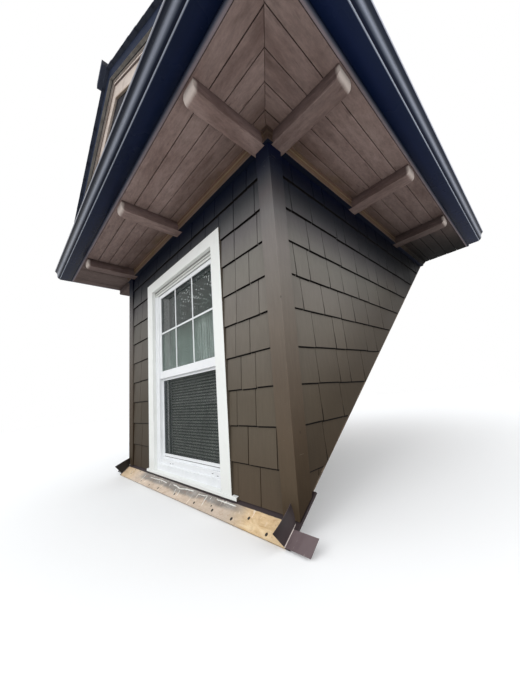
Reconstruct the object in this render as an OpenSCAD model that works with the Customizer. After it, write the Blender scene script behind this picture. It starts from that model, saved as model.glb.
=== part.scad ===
// Roof dormer with a boxed eave on beams, a low front gable and a double-hung window.
// +X runs to the right along the front wall, +Y back into the main roof, +Z up.
// The origin lies on the sloping underside, half way through the front wall.

/* [Main roof] */
// Slope of the main roof that the dormer stands on, degrees
main_roof_angle = 38.2; // [30:0.1:45]
// Thickness of the plywood strip along the foot of the front wall
deck_t = 12; // [9:1:18]
// How far that strip shows down the slope in front of the wall
deck_show = 84; // [60:1:130]

/* [Walls] */
// Width of the front over its corner boards
wall_w = 2142; // [1700:1:2600]
// Height of the front from the plywood strip to the underside of the eave's beams
wall_h = 1784; // [1700:1:1900]
// Thickness of the framed and sheathed walls
frame_t = 100; // [80:1:140]
// Thickness of the corner boards
trim_t = 25; // [20:1:32]
// Width of a corner board's leg on the front
corner_front_w = 100; // [70:1:130]
// Width of a corner board's leg on the side
corner_side_w = 89; // [70:1:130]
// Thickness of the plates that carry the side walls
sole_t = 38; // [30:1:50]

/* [Siding] */
// Height of one course
course_h = 181.6; // [140:0.1:220]
// Thickness of a course at its lower edge
butt_t = 19; // [14:0.5:24]
// Thickness of a course at its upper edge
course_top_t = 9; // [6:0.5:12]
// Gap between the siding and the roof
siding_lift = 8; // [4:1:20]
// Height of the first course's lower edge above the plywood
first_butt = 26; // [8:1:40]

/* [Window] */
// How far the window stands to the right of the wall's middle
window_shift = 10; // [-40:1:40]
// Width between the casing legs
clear_w = 957; // [800:1:1100]
// Height of the siding left between the casing head and the moulding under the soffit
head_gap = 222; // [150:1:400]
// Width of the casing legs
casing_w = 101; // [70:1:120]
// Width of the casing head
casing_head_w = 81; // [60:1:110]
// Thickness of the casing
casing_t = 26; // [24:0.5:32]
// Depth of the window frame behind the casing
window_frame_d = 100; // [95:1:100]
// How far the frame stands into the opening at the jambs and the head
jamb_in = 40; // [30:1:60]
// Height of the lowest step of the frame's sill
sill_low_z = 34; // [20:1:40]
// Height of the step that carries the insect screen
sill_mid_z = 68; // [55:1:75]
// Height of the step that the lower sash closes on
sill_high_z = 60; // [45:1:75]
// Height of the sill's front edge
sill_front_z = -16; // [-18:1:0]
// Thickness of the sill's nosing
nosing_t = 19; // [14:1:24]
// How far the nosing stands out from the corner boards' face
nosing_out = 4; // [2:1:40]
// How far the nosing runs past each casing leg
nosing_past = 46; // [10:1:60]
// Top of the meeting rails
meeting_z = 751; // [650:1:850]
// Height of the meeting rails
meeting_h = 59; // [40:1:70]
// Width of the upper sash's stiles
upper_stile_w = 35; // [30:1:70]
// Width of the lower sash's stiles
lower_stile_w = 60; // [40:1:80]
// Height of the upper sash's top rail
top_rail_h = 30; // [24:1:50]
// Height of the lower sash's bottom rail
bottom_rail_h = 41; // [30:1:60]
// Thickness of each sash
sash_t = 31; // [24:1:31]
// Thickness of a glass unit
glass_t = 18; // [12:1:20]
// Depth of the glass behind a sash's face
glass_recess = 6; // [4:1:8]

/* [Screen and blind] */
// Width of the insect screen's frame
screen_rim_w = 17; // [12:1:30]
// Thickness of the insect screen's frame
screen_rim_t = 9; // [7:1:12]
// Distance between slats
slat_pitch = 21; // [19:1:30]
// Width of a slat
slat_w = 25; // [22:1:26]
// Tilt of the slats, degrees
slat_tilt = 52; // [30:1:60]

/* [Eaves] */
// Soffit width in front, from the corner boards to the fascia
front_overhang = 383.5; // [300:0.5:500]
// Soffit width on the right
right_overhang = 425; // [300:1:520]
// Soffit width on the left
left_overhang = 425; // [300:1:520]
// Thickness of the soffit boards
soffit_t = 15; // [12:1:20]
// Visible width of a soffit board in front
board_w = 78.5; // [60:0.5:120]
// Visible width of a soffit board at the sides
side_board_w = 89.5; // [60:0.5:120]
// Width of the joint between soffit boards
joint_w = 5; // [3:0.5:8]
// Thickness of the fascia boards
fascia_t = 23; // [18:1:30]
// Height of the fascia boards
fascia_h = 124; // [110:1:150]
// Slope of the dormer's own roof, degrees
dormer_pitch = 30.5; // [27:0.1:34]
// Height of the lookout beams below the soffit
lookout_h = 68; // [50:1:90]
// Width of the lookout beams
lookout_w = 88; // [60:1:110]
// Distance between lookouts in front
front_spacing = 960; // [700:1:990]
// Distance between lookouts on the sides
side_spacing = 755; // [500:1:830]
// Radius of the worn lower corner at a lookout's end
lookout_round = 34; // [15:1:45]
// Distance of a corner lookout's middle from the corner boards' outer face
corner_lookout_in = 73; // [70:1:100]
// How far the first side lookouts stand behind the corner boards' face
side_lookout_in = 23.5; // [10:0.5:60]
// How far the moulding under the soffit stands out from the corner boards' face
bed_t = 20; // [14:1:30]

/* [Gutter] */
// Width of the gutter's flat bottom
gutter_bottom_w = 85; // [70:1:100]
// Width of the gutter at its lip
gutter_top_w = 122; // [108:1:150]
// How many times wider the right gutter is than the front one
right_gutter_stretch = 1.16; // [1:0.01:1.25]
// Height of the gutter
gutter_h = 89; // [75:1:103]
// Thickness of the gutter's sheet
gutter_t = 2; // [1.5:0.1:3]
// Distance between the right gutter's end and the main roof
gutter_gap = 60; // [20:1:100]

/* [Gable and roof] */
// Thickness of the roof boarding
boarding_t = 12; // [9:1:18]
// Thickness of a course of roof shingles at its lower edge
shingle_t = 9; // [6:0.5:14]
// Visible height of a roof shingle course
shingle_show = 137; // [110:1:170]
// Thickness of the dark panel in the gable
gable_panel_t = 12; // [9:1:18]
// Thickness of the flat board round the panel
frieze_t = 14; // [10:1:20]
// Thickness of the moulding on that board
rake_mould_t = 28; // [24:1:34]
// Thickness of the sloping fascia boards
rake_fascia_t = 22; // [18:1:30]
// Drop of the sloping fascia below the boarding
rake_drop = 51; // [40:1:58]
// Drop of the moulding below the boarding
mould_drop = 75; // [74:1:120]
// Drop of the flat board below the boarding
frieze_drop = 161; // [130:1:190]
// How far the shingles stand out past the sloping fascia
shingle_out = 22; // [10:1:30]
// Height of the rafters
rafter_h = 140; // [90:1:160]
// Thickness of the rafters and the ridge board
rafter_t = 38; // [30:1:50]
// Distance between rafters
rafter_spacing = 400; // [350:1:600]
// Width of each side of the ridge cap
cap_w = 135; // [100:1:160]
// Thickness of the ridge cap
cap_t = 36; // [10:1:45]
// How far the ridge cap's left half stands out past the shingles
cap_out = 24; // [0:1:60]

/* [Flashing] */
// Height of a flashing's upright leg, square to the main roof
flashing_up = 88; // [60:1:130]
// Width of the leg that lies on the main roof
flashing_flat = 135; // [80:1:160]
// Length of a flashing along the slope
flashing_len = 130; // [95:1:200]
// Thickness of the flashing sheet
flashing_t = 1.5; // [1:0.1:2]

/* [Hidden] */

// Longer than anything here, for cutting
far = 9000;
// Clearance between a piece and the seat it is fitted to
fit = 0.3;

// Walls
slope = tan(main_roof_angle);
half_w = wall_w / 2;
front_face = -frame_t / 2;
trim_face = front_face - trim_t;
inner_face = frame_t / 2;
side_face = half_w - trim_t;
deck_rise = deck_t / cos(main_roof_angle);
foot_z = trim_face * slope + deck_rise;
wall_top = foot_z + wall_h;
soffit_z = wall_top + lookout_h;

// Window
// How far the frame reaches behind the casing
frame_lap = 32;
// How far the sill's slope falls from the wall to the nosing
sill_fall = 5;
// Depths of the frame's steps, one behind the other from the wall's face
reveal_step = 4;
jamb_step = 5;
stop_step = 8;
// Depth of the screen behind the face of the upper sash
screen_in = 18;
// Play between the two sashes, and between the lower one and its step
sash_play = 3;
step_play = 1;
// Depth of the rebate that holds the glass, and the glass's play in it
rebate = 8;
glass_play = 1;
clear_left = window_shift - clear_w / 2;
clear_right = window_shift + clear_w / 2;
clear_top = wall_top - head_gap - casing_head_w;
frame_outer_w = clear_w + 2 * frame_lap;
frame_top = clear_top + frame_lap;
sash_top = clear_top - jamb_in;
sash_left = clear_left + jamb_in;
sash_right = clear_right - jamb_in;
nosing_y = trim_face - nosing_out;
first_step_y = front_face + reveal_step;
second_step_y = first_step_y + jamb_step;
upper_sash_y = second_step_y + stop_step;
lower_sash_y = upper_sash_y + sash_t + sash_play;
screen_y = upper_sash_y + screen_in;
sill_bottom_z = sill_front_z - nosing_t;

// Eaves
fascia_back = trim_face - front_overhang;
fascia_front = fascia_back - fascia_t;
right_back = half_w + right_overhang;
right_front = right_back + fascia_t;
left_back = -half_w - left_overhang;
left_front = left_back - fascia_t;
eave_z = soffit_z + fascia_h;
ridge_x = (right_front + left_front) / 2;
half_span = (right_front - left_front) / 2;
pitch = tan(dormer_pitch);
ridge_under_z = eave_z + half_span * pitch;
boarding_rise = boarding_t / cos(dormer_pitch);
rafter_rise = rafter_h / cos(dormer_pitch);
boarding_top_z = ridge_under_z + boarding_rise;
soffit_end = soffit_z / slope;
ridge_end = (boarding_top_z + shingle_t + cap_t) / slope;
corner_lookout_x = half_w - corner_lookout_in;
// Least gap between the left front lookout and the side's first one
lookout_gap = 5;
front_step = min(front_spacing, (corner_lookout_x + side_face - lookout_w / 2 - lookout_gap) / 2);
left_joint_x = corner_lookout_x - 2 * front_step;
first_side_y = trim_face + side_lookout_in;

// Gable and roof frame
first_rafter_y = fascia_back + gable_panel_t + fit;
rake_back = fascia_back - rake_mould_t;
rake_front = rake_back - rake_fascia_t;
shingle_front = rake_front - shingle_out;

// Height of the boarding's underside at a place across the roof
function under_z(x) = ridge_under_z - abs(x - ridge_x) * pitch;

// The space above the main roof, raised square to it by lift
module above_roof(lift = 0) {
    rotate([main_roof_angle, 0, 0])
        translate([-far, -far, lift])
            cube([2 * far, 2 * far, far]);
}

// Keeps the children above the main roof
module cut_by_roof(lift = 0) {
    intersection() {
        children();
        above_roof(lift);
    }
}

// A box from one corner to the other
module span(low, high) {
    translate(low) cube(high - low);
}

// An outline in the X and Z plane made solid from y0 to y1
module slab_xz(y0, y1) {
    translate([0, y1, 0]) rotate([90, 0, 0]) linear_extrude(y1 - y0) children();
}

// An outline in the Y and Z plane made solid from x0 to x1
module slab_yz(x0, x1) {
    translate([x0, 0, 0]) rotate([90, 0, 90]) linear_extrude(x1 - x0) children();
}

// Everything on one side of a mitre that starts at a corner and leaves at an angle
module mitre_side(corner, angle, side) {
    translate([corner[0], corner[1], -far])
        rotate([0, 0, angle])
            translate([-far, side > 0 ? 0 : -far, 0])
                cube([2 * far, far, 2 * far]);
}

// Mirrors the children to the left where side is -1
module sided(side) {
    if (side > 0) children();
    else mirror([1, 0, 0]) children();
}

module apron_board() {
    color("burlywood") rotate([main_roof_angle, 0, 0])
        span([-half_w, trim_face / cos(main_roof_angle) - deck_show, 0],
             [half_w, inner_face / cos(main_roof_angle), deck_t]);
}

// The plate along the foot of a side wall
module sole(side) {
    sided(side) rotate([main_roof_angle, 0, 0])
        span([side_face - frame_t, inner_face / cos(main_roof_angle) + fit, 0],
             [side_face, soffit_end / cos(main_roof_angle), sole_t]);
}

module side_soles() {
    color("burlywood") {
        sole(-1);
        sole(1);
    }
}

// The space under the dormer's roof boarding, lowered by drop
module under_roof(drop = 0) {
    top = ridge_under_z - drop;
    slab_xz(-far, far)
        polygon([[ridge_x - far, top - far * pitch], [ridge_x, top], [ridge_x + far, top - far * pitch]]);
}

// The front wall up to the rafters, with a hole for the window frame
module front_wall() {
    color("tan") cut_by_roof(deck_t) difference() {
        intersection() {
            span([-side_face, front_face, -far / 2], [side_face, inner_face, far / 2]);
            under_roof(rafter_rise);
        }
        span([window_shift - frame_outer_w / 2 - fit, -far, sill_bottom_z - fit],
             [window_shift + frame_outer_w / 2 + fit, far, frame_top + fit]);
    }
}

// Depth of the notch that seats a rafter on a side wall
rafter_notch = 30;
// Height of a side wall's top
function cheek_top(side) = under_z(side * side_face) - rafter_rise + rafter_notch;

module cheek(side) {
    cut_by_roof(sole_t) sided(side)
        span([side_face - frame_t, inner_face, 0], [side_face, far / 2, cheek_top(side)]);
}

module left_cheek() {
    color("tan") cheek(-1);
}

module right_cheek() {
    color("tan") cheek(1);
}

// The room that the lookout beams take, with a clearance all round
module lookout_room(gap) {
    for (i = [0:2]) {
        x = corner_lookout_x - i * front_step;
        y = first_side_y + i * side_spacing;
        span([x - lookout_w / 2 - gap, -far, wall_top - gap],
             [x + lookout_w / 2 + gap, front_face, far]);
        for (side = [-1, 1])
            sided(side) span([side_face, y - gap, wall_top - gap],
                             [far, y + lookout_w + gap, far]);
    }
}

// Two boards in an L round a front corner
module corner_board(side) {
    cut_by_roof(deck_t + siding_lift) sided(side) {
        span([half_w - corner_front_w, trim_face, -far / 2], [half_w, front_face, wall_top]);
        span([side_face, front_face, -far / 2], [half_w, trim_face + corner_side_w, wall_top]);
    }
}

module left_corner_board() {
    color("#3d352e") corner_board(-1);
}

module right_corner_board() {
    color("#3d352e") corner_board(1);
}

// Courses that reach from below the first visible lower edge to the wall's top
courses = ceil((wall_h - first_butt) / course_h) + 1;

// Cross-section of the lapped courses, thickest at each lower edge
module course_outline() {
    base = foot_z + first_butt - course_h;
    polygon(concat(
        [[0, wall_top], [0, base]],
        [for (i = [0:courses - 1]) each [
            [butt_t, base + i * course_h],
            [course_top_t, min(base + (i + 1) * course_h, wall_top)]
        ]]
    ));
}

module front_courses(x0, x1) {
    translate([0, front_face, 0]) mirror([0, 1, 0])
        slab_yz(x0, x1) course_outline();
}

module front_siding() {
    color("#453a31") cut_by_roof(deck_t + siding_lift) difference() {
        front_courses(-half_w + corner_front_w + fit, half_w - corner_front_w - fit);
        span([clear_left - casing_w - fit, -far, -far / 2],
             [clear_right + casing_w + fit, far, clear_top + casing_head_w + fit]);
        span([clear_left - casing_w - nosing_past - fit, -far, -far / 2],
             [clear_right + casing_w + nosing_past + fit, far, sill_front_z + sill_fall + fit]);
    }
}

module side_siding(side) {
    cut_by_roof(deck_t + siding_lift)
        sided(side) translate([side_face, trim_face + corner_side_w + fit, 0])
            mirror([0, 1, 0]) rotate([90, 0, 0])
                linear_extrude(soffit_end - trim_face - corner_side_w)
                    course_outline();
}

module left_siding() {
    color("#453a31") side_siding(-1);
}

module right_siding() {
    color("#453a31") side_siding(1);
}

module window_casing() {
    color("white") difference() {
        span([clear_left - casing_w, front_face - casing_t, sill_bottom_z],
             [clear_right + casing_w, front_face, clear_top + casing_head_w]);
        span([clear_left, -far, -far], [clear_right, far, clear_top]);
        sill_body();
    }
}

// The part of the sill in front of the wall: a slope that ends in a square nosing
module sill_body() {
    slab_yz(clear_left - casing_w - nosing_past, clear_right + casing_w + nosing_past)
        polygon([
            [nosing_y, sill_front_z], [nosing_y, sill_bottom_z],
            [front_face, sill_bottom_z], [front_face, sill_front_z + sill_fall]
        ]);
}

module window_sill() {
    color("white") cut_by_roof(deck_t + fit) sill_body();
}

// The frame: each step of its hole from y0 back is narrower, and higher at the sill
module frame_step(y0, y1, inset, low_z) {
    span([clear_left + inset, y0, low_z], [clear_right - inset, y1, clear_top - inset]);
}

module window_frame() {
    color("white") cut_by_roof(deck_t + fit) difference() {
        span([window_shift - frame_outer_w / 2, front_face, sill_bottom_z],
             [window_shift + frame_outer_w / 2, front_face + window_frame_d, frame_top]);
        frame_step(-far, first_step_y, 0, sill_front_z + sill_fall);
        frame_step(-far, second_step_y, jamb_in / 2, sill_low_z);
        frame_step(-far, upper_sash_y, jamb_in, sill_low_z);
        frame_step(-far, far, jamb_in, sill_mid_z);
        frame_step(lower_sash_y - step_play, far, jamb_in, sill_high_z);
    }
}

// A sash: a rectangular rim with a rebate that holds the glass
module sash(y0, z0, z1, stile_w, lower_rail, upper_rail) {
    x0 = sash_left + fit;
    x1 = sash_right - fit;
    glass_y = y0 + glass_recess;
    difference() {
        span([x0, y0, z0], [x1, y0 + sash_t, z1 - fit]);
        span([x0 + stile_w, -far, z0 + lower_rail], [x1 - stile_w, far, z1 - upper_rail]);
        span([x0 + stile_w - rebate, glass_y, z0 + lower_rail - rebate],
             [x1 - stile_w + rebate, glass_y + glass_t, z1 - upper_rail + rebate]);
    }
}

// A glass unit in its rebate, clear of the rebate's sides
module glass(y0, z0, z1, stile_w, lower_rail, upper_rail) {
    glass_y = y0 + glass_recess;
    edge = stile_w - rebate + glass_play;
    span([sash_left + edge, glass_y + fit, z0 + lower_rail - rebate + glass_play],
         [sash_right - edge, glass_y + glass_t - fit, z1 - upper_rail + rebate - glass_play]);
}

upper_sash_z = meeting_z - meeting_h;
lower_sash_z = sill_high_z + fit;

module upper_sash() {
    color("white")
        sash(upper_sash_y, upper_sash_z, sash_top, upper_stile_w, meeting_h, top_rail_h);
}

module lower_sash() {
    color("white")
        sash(lower_sash_y, lower_sash_z, meeting_z, lower_stile_w, bottom_rail_h, meeting_h);
}

module window_glass() {
    color("lightblue") {
        glass(upper_sash_y, upper_sash_z, sash_top, upper_stile_w, meeting_h, top_rail_h);
        glass(lower_sash_y, lower_sash_z, meeting_z, lower_stile_w, bottom_rail_h, meeting_h);
    }
}

// A framed mesh outside the lower sash, under the upper one
module insect_screen() {
    x0 = sash_left + fit;
    x1 = sash_right - fit;
    z0 = sill_mid_z + fit;
    z1 = upper_sash_z - fit;
    mesh_t = 0.8;
    color("silver") {
        difference() {
            span([x0, screen_y, z0], [x1, screen_y + screen_rim_t, z1]);
            span([x0 + screen_rim_w, -far, z0 + screen_rim_w], [x1 - screen_rim_w, far, z1 - screen_rim_w]);
        }
        span([x0 + screen_rim_w, screen_y + screen_rim_t / 2, z0 + screen_rim_w],
             [x1 - screen_rim_w, screen_y + screen_rim_t / 2 + mesh_t, z1 - screen_rim_w]);
    }
}

// A slatted blind between the jambs, behind the lower sash
module window_blind() {
    rail_h = 28;
    bottom_rail = 12;
    bottom_rail_w = 20;
    slat_t = 0.8;
    ladder_w = 4;
    ladder_t = 2;
    ladder_in = 120;
    blind_y = lower_sash_y + sash_t + fit + slat_w / 2;
    top_z = meeting_z - rail_h;
    x0 = sash_left + fit;
    x1 = sash_right - fit;
    low_z = sill_high_z + bottom_rail_h - bottom_rail;
    count = floor((top_z - low_z - bottom_rail) / slat_pitch);
    color("silver") {
        span([x0, blind_y - slat_w / 2, top_z], [x1, blind_y + slat_w / 2, meeting_z]);
        for (i = [1:count])
            translate([x0, blind_y, top_z - i * slat_pitch]) rotate([slat_tilt, 0, 0])
                translate([0, -slat_w / 2, -slat_t / 2]) cube([x1 - x0, slat_w, slat_t]);
        for (x = [x0 + ladder_in, (x0 + x1) / 2, x1 - ladder_in])
            span([x - ladder_w / 2, blind_y - ladder_t / 2, low_z],
                 [x + ladder_w / 2, blind_y + ladder_t / 2, top_z]);
        span([x0, blind_y - bottom_rail_w / 2, low_z],
             [x1, blind_y + bottom_rail_w / 2, low_z + bottom_rail]);
    }
}

// Depth of the joint between two boards
joint_depth = 4;

// Cross-section of a run of soffit boards that starts at the fascia
module board_outline(width, board) {
    difference() {
        square([width, soffit_t]);
        for (x = [board:board:width - joint_w])
            translate([x, 0])
                polygon([[-joint_w / 2, 0], [joint_w / 2, 0], [0, joint_depth]]);
    }
}

// How far in front of the wall's corner the mitre between the soffits starts
mitre_out = 11;
mitre_start = [half_w, trim_face - mitre_out];
mitre_angle = atan2(fascia_back - mitre_start[1], right_overhang);

module front_soffit() {
    color("#7a6862") intersection() {
        translate([left_joint_x, fascia_back, soffit_z]) rotate([90, 0, 90])
            linear_extrude(right_back - left_joint_x) board_outline(front_face - fascia_back - fit, board_w);
        mitre_side(mitre_start, mitre_angle, -1);
    }
}

module right_soffit() {
    color("#7a6862") cut_by_roof(deck_t) difference() {
        intersection() {
            translate([right_back, soffit_end, soffit_z]) mirror([1, 0, 0]) rotate([90, 0, 0])
                linear_extrude(soffit_end - fascia_back)
                    board_outline(right_back - side_face - fit, side_board_w);
            mitre_side(mitre_start, mitre_angle, 1);
        }
        span([-far, front_face - fit, 0], [side_face + fit, far, far / 2]);
    }
}

module left_soffit() {
    color("#7a6862") cut_by_roof(deck_t) difference() {
        translate([left_back, soffit_end, soffit_z]) rotate([90, 0, 0])
            linear_extrude(soffit_end - fascia_back)
                board_outline(left_joint_x - left_back - fit, side_board_w);
        span([-side_face - fit, front_face - fit, 0], [far, far, far / 2]);
    }
}

// A beam that runs out along -Y, its lower outer corner worn round
module lookout(length) {
    translate([-lookout_w / 2, 0, 0]) slab_yz(0, lookout_w)
        polygon(concat(
            [[0, 0], [0, -lookout_h]],
            [for (a = [0:15:90]) [
                -length + lookout_round - lookout_round * sin(a),
                -lookout_h + lookout_round - lookout_round * cos(a)
            ]],
            [[-length, 0]]
        ));
}

// Gap between a lookout's end and the fascia
lookout_stop = 5;

// Three beams in front and three on each side
module lookouts() {
    side_start = side_face + fit;
    color("#7a6862")
        for (i = [0:2]) {
            y = first_side_y + i * side_spacing + lookout_w / 2;
            translate([corner_lookout_x - i * front_step, front_face - fit, soffit_z])
                lookout(front_face - fit - fascia_back - lookout_stop);
            translate([side_start, y, soffit_z]) rotate([0, 0, 90])
                lookout(right_back - side_start - lookout_stop);
            translate([-side_start, y, soffit_z]) rotate([0, 0, -90])
                lookout(-side_start - left_back - lookout_stop);
        }
}

// Stepped moulding on top of the wall, from the sheathing out to its upper lip
module bed_outline() {
    polygon([
        [0, 0], [trim_t + bed_t * 0.65, 0], [trim_t + bed_t * 0.65, lookout_h * 0.22],
        [trim_t + bed_t * 0.5, lookout_h * 0.28], [trim_t + bed_t * 0.5, lookout_h * 0.52],
        [trim_t + bed_t * 0.8, lookout_h * 0.66], [trim_t + bed_t * 0.8, lookout_h * 0.8],
        [trim_t + bed_t, lookout_h * 0.86], [trim_t + bed_t, lookout_h], [0, lookout_h]
    ]);
}

module front_bed_moulding() {
    color("#8a7560") difference() {
        intersection() {
            translate([0, front_face, wall_top]) mirror([0, 1, 0])
                slab_yz(-half_w - bed_t, half_w + bed_t) bed_outline();
            mitre_side([side_face, front_face], -45, -1);
            sided(-1) mitre_side([side_face, front_face], -45, -1);
        }
        lookout_room(fit);
    }
}

module side_bed_moulding(side) {
    cut_by_roof(deck_t) difference() {
        sided(side) intersection() {
            translate([side_face, soffit_end, wall_top]) rotate([90, 0, 0])
                linear_extrude(soffit_end - trim_face + bed_t) bed_outline();
            mitre_side([side_face, front_face], -45, 1);
        }
        lookout_room(fit);
    }
}

module left_bed_moulding() {
    color("#8a7560") side_bed_moulding(-1);
}

module right_bed_moulding() {
    color("#8a7560") side_bed_moulding(1);
}

module front_fascia() {
    color("#2a3040")
        span([left_front, fascia_front, soffit_z], [right_front, fascia_back, eave_z]);
}

// A side fascia, its top cut to the dormer's roof
module side_fascia(x0, x1) {
    cut_by_roof(deck_t) intersection() {
        span([x0, fascia_back, soffit_z], [x1, far / 2, far / 2]);
        under_roof();
    }
}

module left_fascia() {
    color("#2a3040") side_fascia(left_front, left_back);
}

module right_fascia() {
    color("#2a3040") side_fascia(right_back, right_front);
}

// The gutter's face as an ogee between its upright foot and its lip
foot_h = 12;
lip_h = 22;
lip_out = 6;
roll_h = 10;
face_steps = 10;
// The sheet's width measured level across the sloping face, and at the folded lip
face_sheet = 1.3 * gutter_t;
lip_sheet = 2 * gutter_t;
function ogee(t) = (1 - cos(180 * t)) / 2;
function face_points(inset) = [
    for (i = [0:face_steps])
        let (t = i / face_steps)
        [gutter_bottom_w - inset + (gutter_top_w - lip_out - gutter_bottom_w) * ogee(t),
         foot_h + (gutter_h - foot_h - lip_h) * t]
];
function reversed(list) = [for (i = [len(list) - 1:-1:0]) list[i]];

// The mitre where the wider right gutter meets the front one
gutter_mitre = -atan(1 / right_gutter_stretch);

outer_points = concat(
    [[0, gutter_h], [0, 0], [gutter_bottom_w, 0]],
    face_points(0),
    [[gutter_top_w, gutter_h - roll_h], [gutter_top_w, gutter_h]]
);

sheet_points = concat(
    outer_points,
    [[gutter_top_w - lip_sheet, gutter_h], [gutter_top_w - lip_sheet, gutter_h - roll_h]],
    reversed(face_points(face_sheet)),
    [[gutter_bottom_w - face_sheet, gutter_t], [gutter_t, gutter_t], [gutter_t, gutter_h]]
);

// An outline whose widths are multiplied by stretch
module stretched(points, stretch = 1) {
    polygon([for (p = points) [p[0] * stretch, p[1]]]);
}

module front_gutter() {
    color("#2a3040") intersection() {
        union() {
            translate([0, fascia_front, soffit_z]) mirror([0, 1, 0])
                slab_yz(left_front, right_front + gutter_top_w * right_gutter_stretch)
                    stretched(sheet_points);
            translate([0, fascia_front, soffit_z]) mirror([0, 1, 0])
                slab_yz(left_front, left_front + gutter_t) stretched(outer_points);
        }
        mitre_side([right_front, fascia_front], gutter_mitre, -1);
    }
}

gutter_end = soffit_end - gutter_gap;

module right_gutter() {
    color("#2a3040") intersection() {
        union() {
            translate([right_front, gutter_end, soffit_z]) rotate([90, 0, 0])
                linear_extrude(gutter_end - fascia_front + gutter_top_w)
                    stretched(sheet_points, right_gutter_stretch);
            translate([right_front, gutter_end, soffit_z]) rotate([90, 0, 0])
                linear_extrude(gutter_t) stretched(outer_points, right_gutter_stretch);
        }
        mitre_side([right_front, fascia_front], gutter_mitre, 1);
    }
}

module gable_panel() {
    color("#26211e") intersection() {
        span([left_front, fascia_back, soffit_z + soffit_t + fit],
             [right_front, fascia_back + gable_panel_t, far / 2]);
        span([left_back + fit, -far, 0], [right_back - fit, far, far / 2]);
        under_roof();
    }
}

// A band along the roof's sloping edge, from y0 to y1, between two distances below the boarding
module rake_band(side, y0, y1, drop, start = 0) {
    low = drop / cos(dormer_pitch);
    high = start / cos(dormer_pitch);
    intersection() {
        slab_xz(y0, y1)
            polygon([
                [ridge_x, ridge_under_z - high], [ridge_x, ridge_under_z - low],
                [ridge_x + side * half_span, eave_z - low],
                [ridge_x + side * half_span, eave_z - high]
            ]);
        span([-far, -far, eave_z + fit], [far, far, far]);
    }
}

// Depth and height of the step in the moulding
mould_step_t = 6;
mould_step_h = 16;

module rake_trim(side) {
    rake_band(side, fascia_back - frieze_t, fascia_back, frieze_drop);
    rake_band(side, fascia_back - rake_mould_t + mould_step_t, fascia_back, mould_drop);
    rake_band(side, fascia_back - rake_mould_t, fascia_back, mould_drop - mould_step_h);
}

module left_rake_trim() {
    color("#cbb79c") rake_trim(-1);
}

module right_rake_trim() {
    color("#cbb79c") rake_trim(1);
}

module left_rake_fascia() {
    color("#2a3040") rake_band(-1, rake_front, rake_back, rake_drop, -boarding_t);
}

module right_rake_fascia() {
    color("#2a3040") rake_band(1, rake_front, rake_back, rake_drop, -boarding_t);
}

// A layer that follows one side of the dormer's roof
module roof_layer(side, y0, low, high, eave_out) {
    cut_by_roof(deck_t) slab_xz(y0, ridge_end)
        polygon([
            [ridge_x, ridge_under_z + low / cos(dormer_pitch)],
            [ridge_x, ridge_under_z + high / cos(dormer_pitch)],
            [ridge_x + side * (half_span + eave_out),
             eave_z - eave_out * pitch + high / cos(dormer_pitch)],
            [ridge_x + side * (half_span + eave_out),
             eave_z - eave_out * pitch + low / cos(dormer_pitch)]
        ]);
}

// How far the boarding stands out past the side fascias
boarding_out = 10;

module left_roof_boarding() {
    color("burlywood") roof_layer(-1, rake_back, 0, boarding_t, boarding_out);
}

module right_roof_boarding() {
    color("burlywood") roof_layer(1, rake_back, 0, boarding_t, boarding_out);
}

// How far the lowest course stands out past the side fascia
shingle_eave = 24;
// Thickness of a course at its upper edge
shingle_top_t = 3.6;
run = (half_span + shingle_eave) / cos(dormer_pitch);
shingle_rows = ceil(run / shingle_show);

// Lapped courses down one slope, thickest at each lower edge
module shingle_slope(side) {
    cut_by_roof(deck_t)
        translate([ridge_x, 0, boarding_top_z]) sided(side)
            rotate([0, dormer_pitch, 0])
                slab_xz(shingle_front, ridge_end)
                    polygon(concat(
                        [[0, 0]],
                        [for (i = [0:shingle_rows - 1]) each [
                            [max(run - (shingle_rows - i) * shingle_show, 0), shingle_top_t],
                            [run - (shingle_rows - i - 1) * shingle_show, shingle_t]
                        ]],
                        [[run, 0]]
                    ));
}

module left_shingles() {
    color("#5d5a58") intersection() {
        shingle_slope(-1);
        span([-far, -far, 0], [ridge_x, far, far]);
    }
}

module right_shingles() {
    color("#5d5a58") intersection() {
        shingle_slope(1);
        span([ridge_x, -far, 0], [far, far, far]);
    }
}

// One half of the ridge cap, from y0 back
module cap_half(side, y0) {
    low = boarding_top_z + shingle_t / cos(dormer_pitch) + fit;
    high = low + cap_t / cos(dormer_pitch);
    slab_xz(y0, ridge_end)
        polygon([
            [ridge_x, low], [ridge_x + side * cap_w, low - cap_w * pitch],
            [ridge_x + side * cap_w, high - cap_w * pitch], [ridge_x, high]
        ]);
}

module ridge_cap() {
    color("#4a4848") cut_by_roof(deck_t) {
        cap_half(-1, shingle_front - cap_out);
        cap_half(1, rake_front);
    }
}

module ridge_board() {
    color("burlywood") cut_by_roof(deck_t) intersection() {
        span([ridge_x - rafter_t / 2, first_rafter_y, ridge_under_z - rafter_rise],
             [ridge_x + rafter_t / 2, far / 2, far / 2]);
        under_roof();
    }
}

rafter_count = floor((ridge_end - first_rafter_y - rafter_t) / rafter_spacing) + 1;

// The rafters of one slope, notched over the side wall and cut level at the soffit
module rafter_row(side) {
    head_x = ridge_x + side * (rafter_t / 2 + fit);
    foot_x = ridge_x + side * (half_span - fascia_t - fit);
    cut_by_roof(deck_t) difference() {
        for (i = [0:rafter_count - 1])
            slab_xz(first_rafter_y + i * rafter_spacing, first_rafter_y + i * rafter_spacing + rafter_t)
                polygon([
                    [head_x, under_z(head_x)], [head_x, under_z(head_x) - rafter_rise],
                    [foot_x, under_z(foot_x) - rafter_rise], [foot_x, under_z(foot_x)]
                ]);
        span([-far, -far, 0], [far, far, soffit_z + soffit_t]);
        sided(side)
            span([side_face - frame_t, inner_face, 0], [side_face, far, cheek_top(side)]);
    }
}

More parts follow.
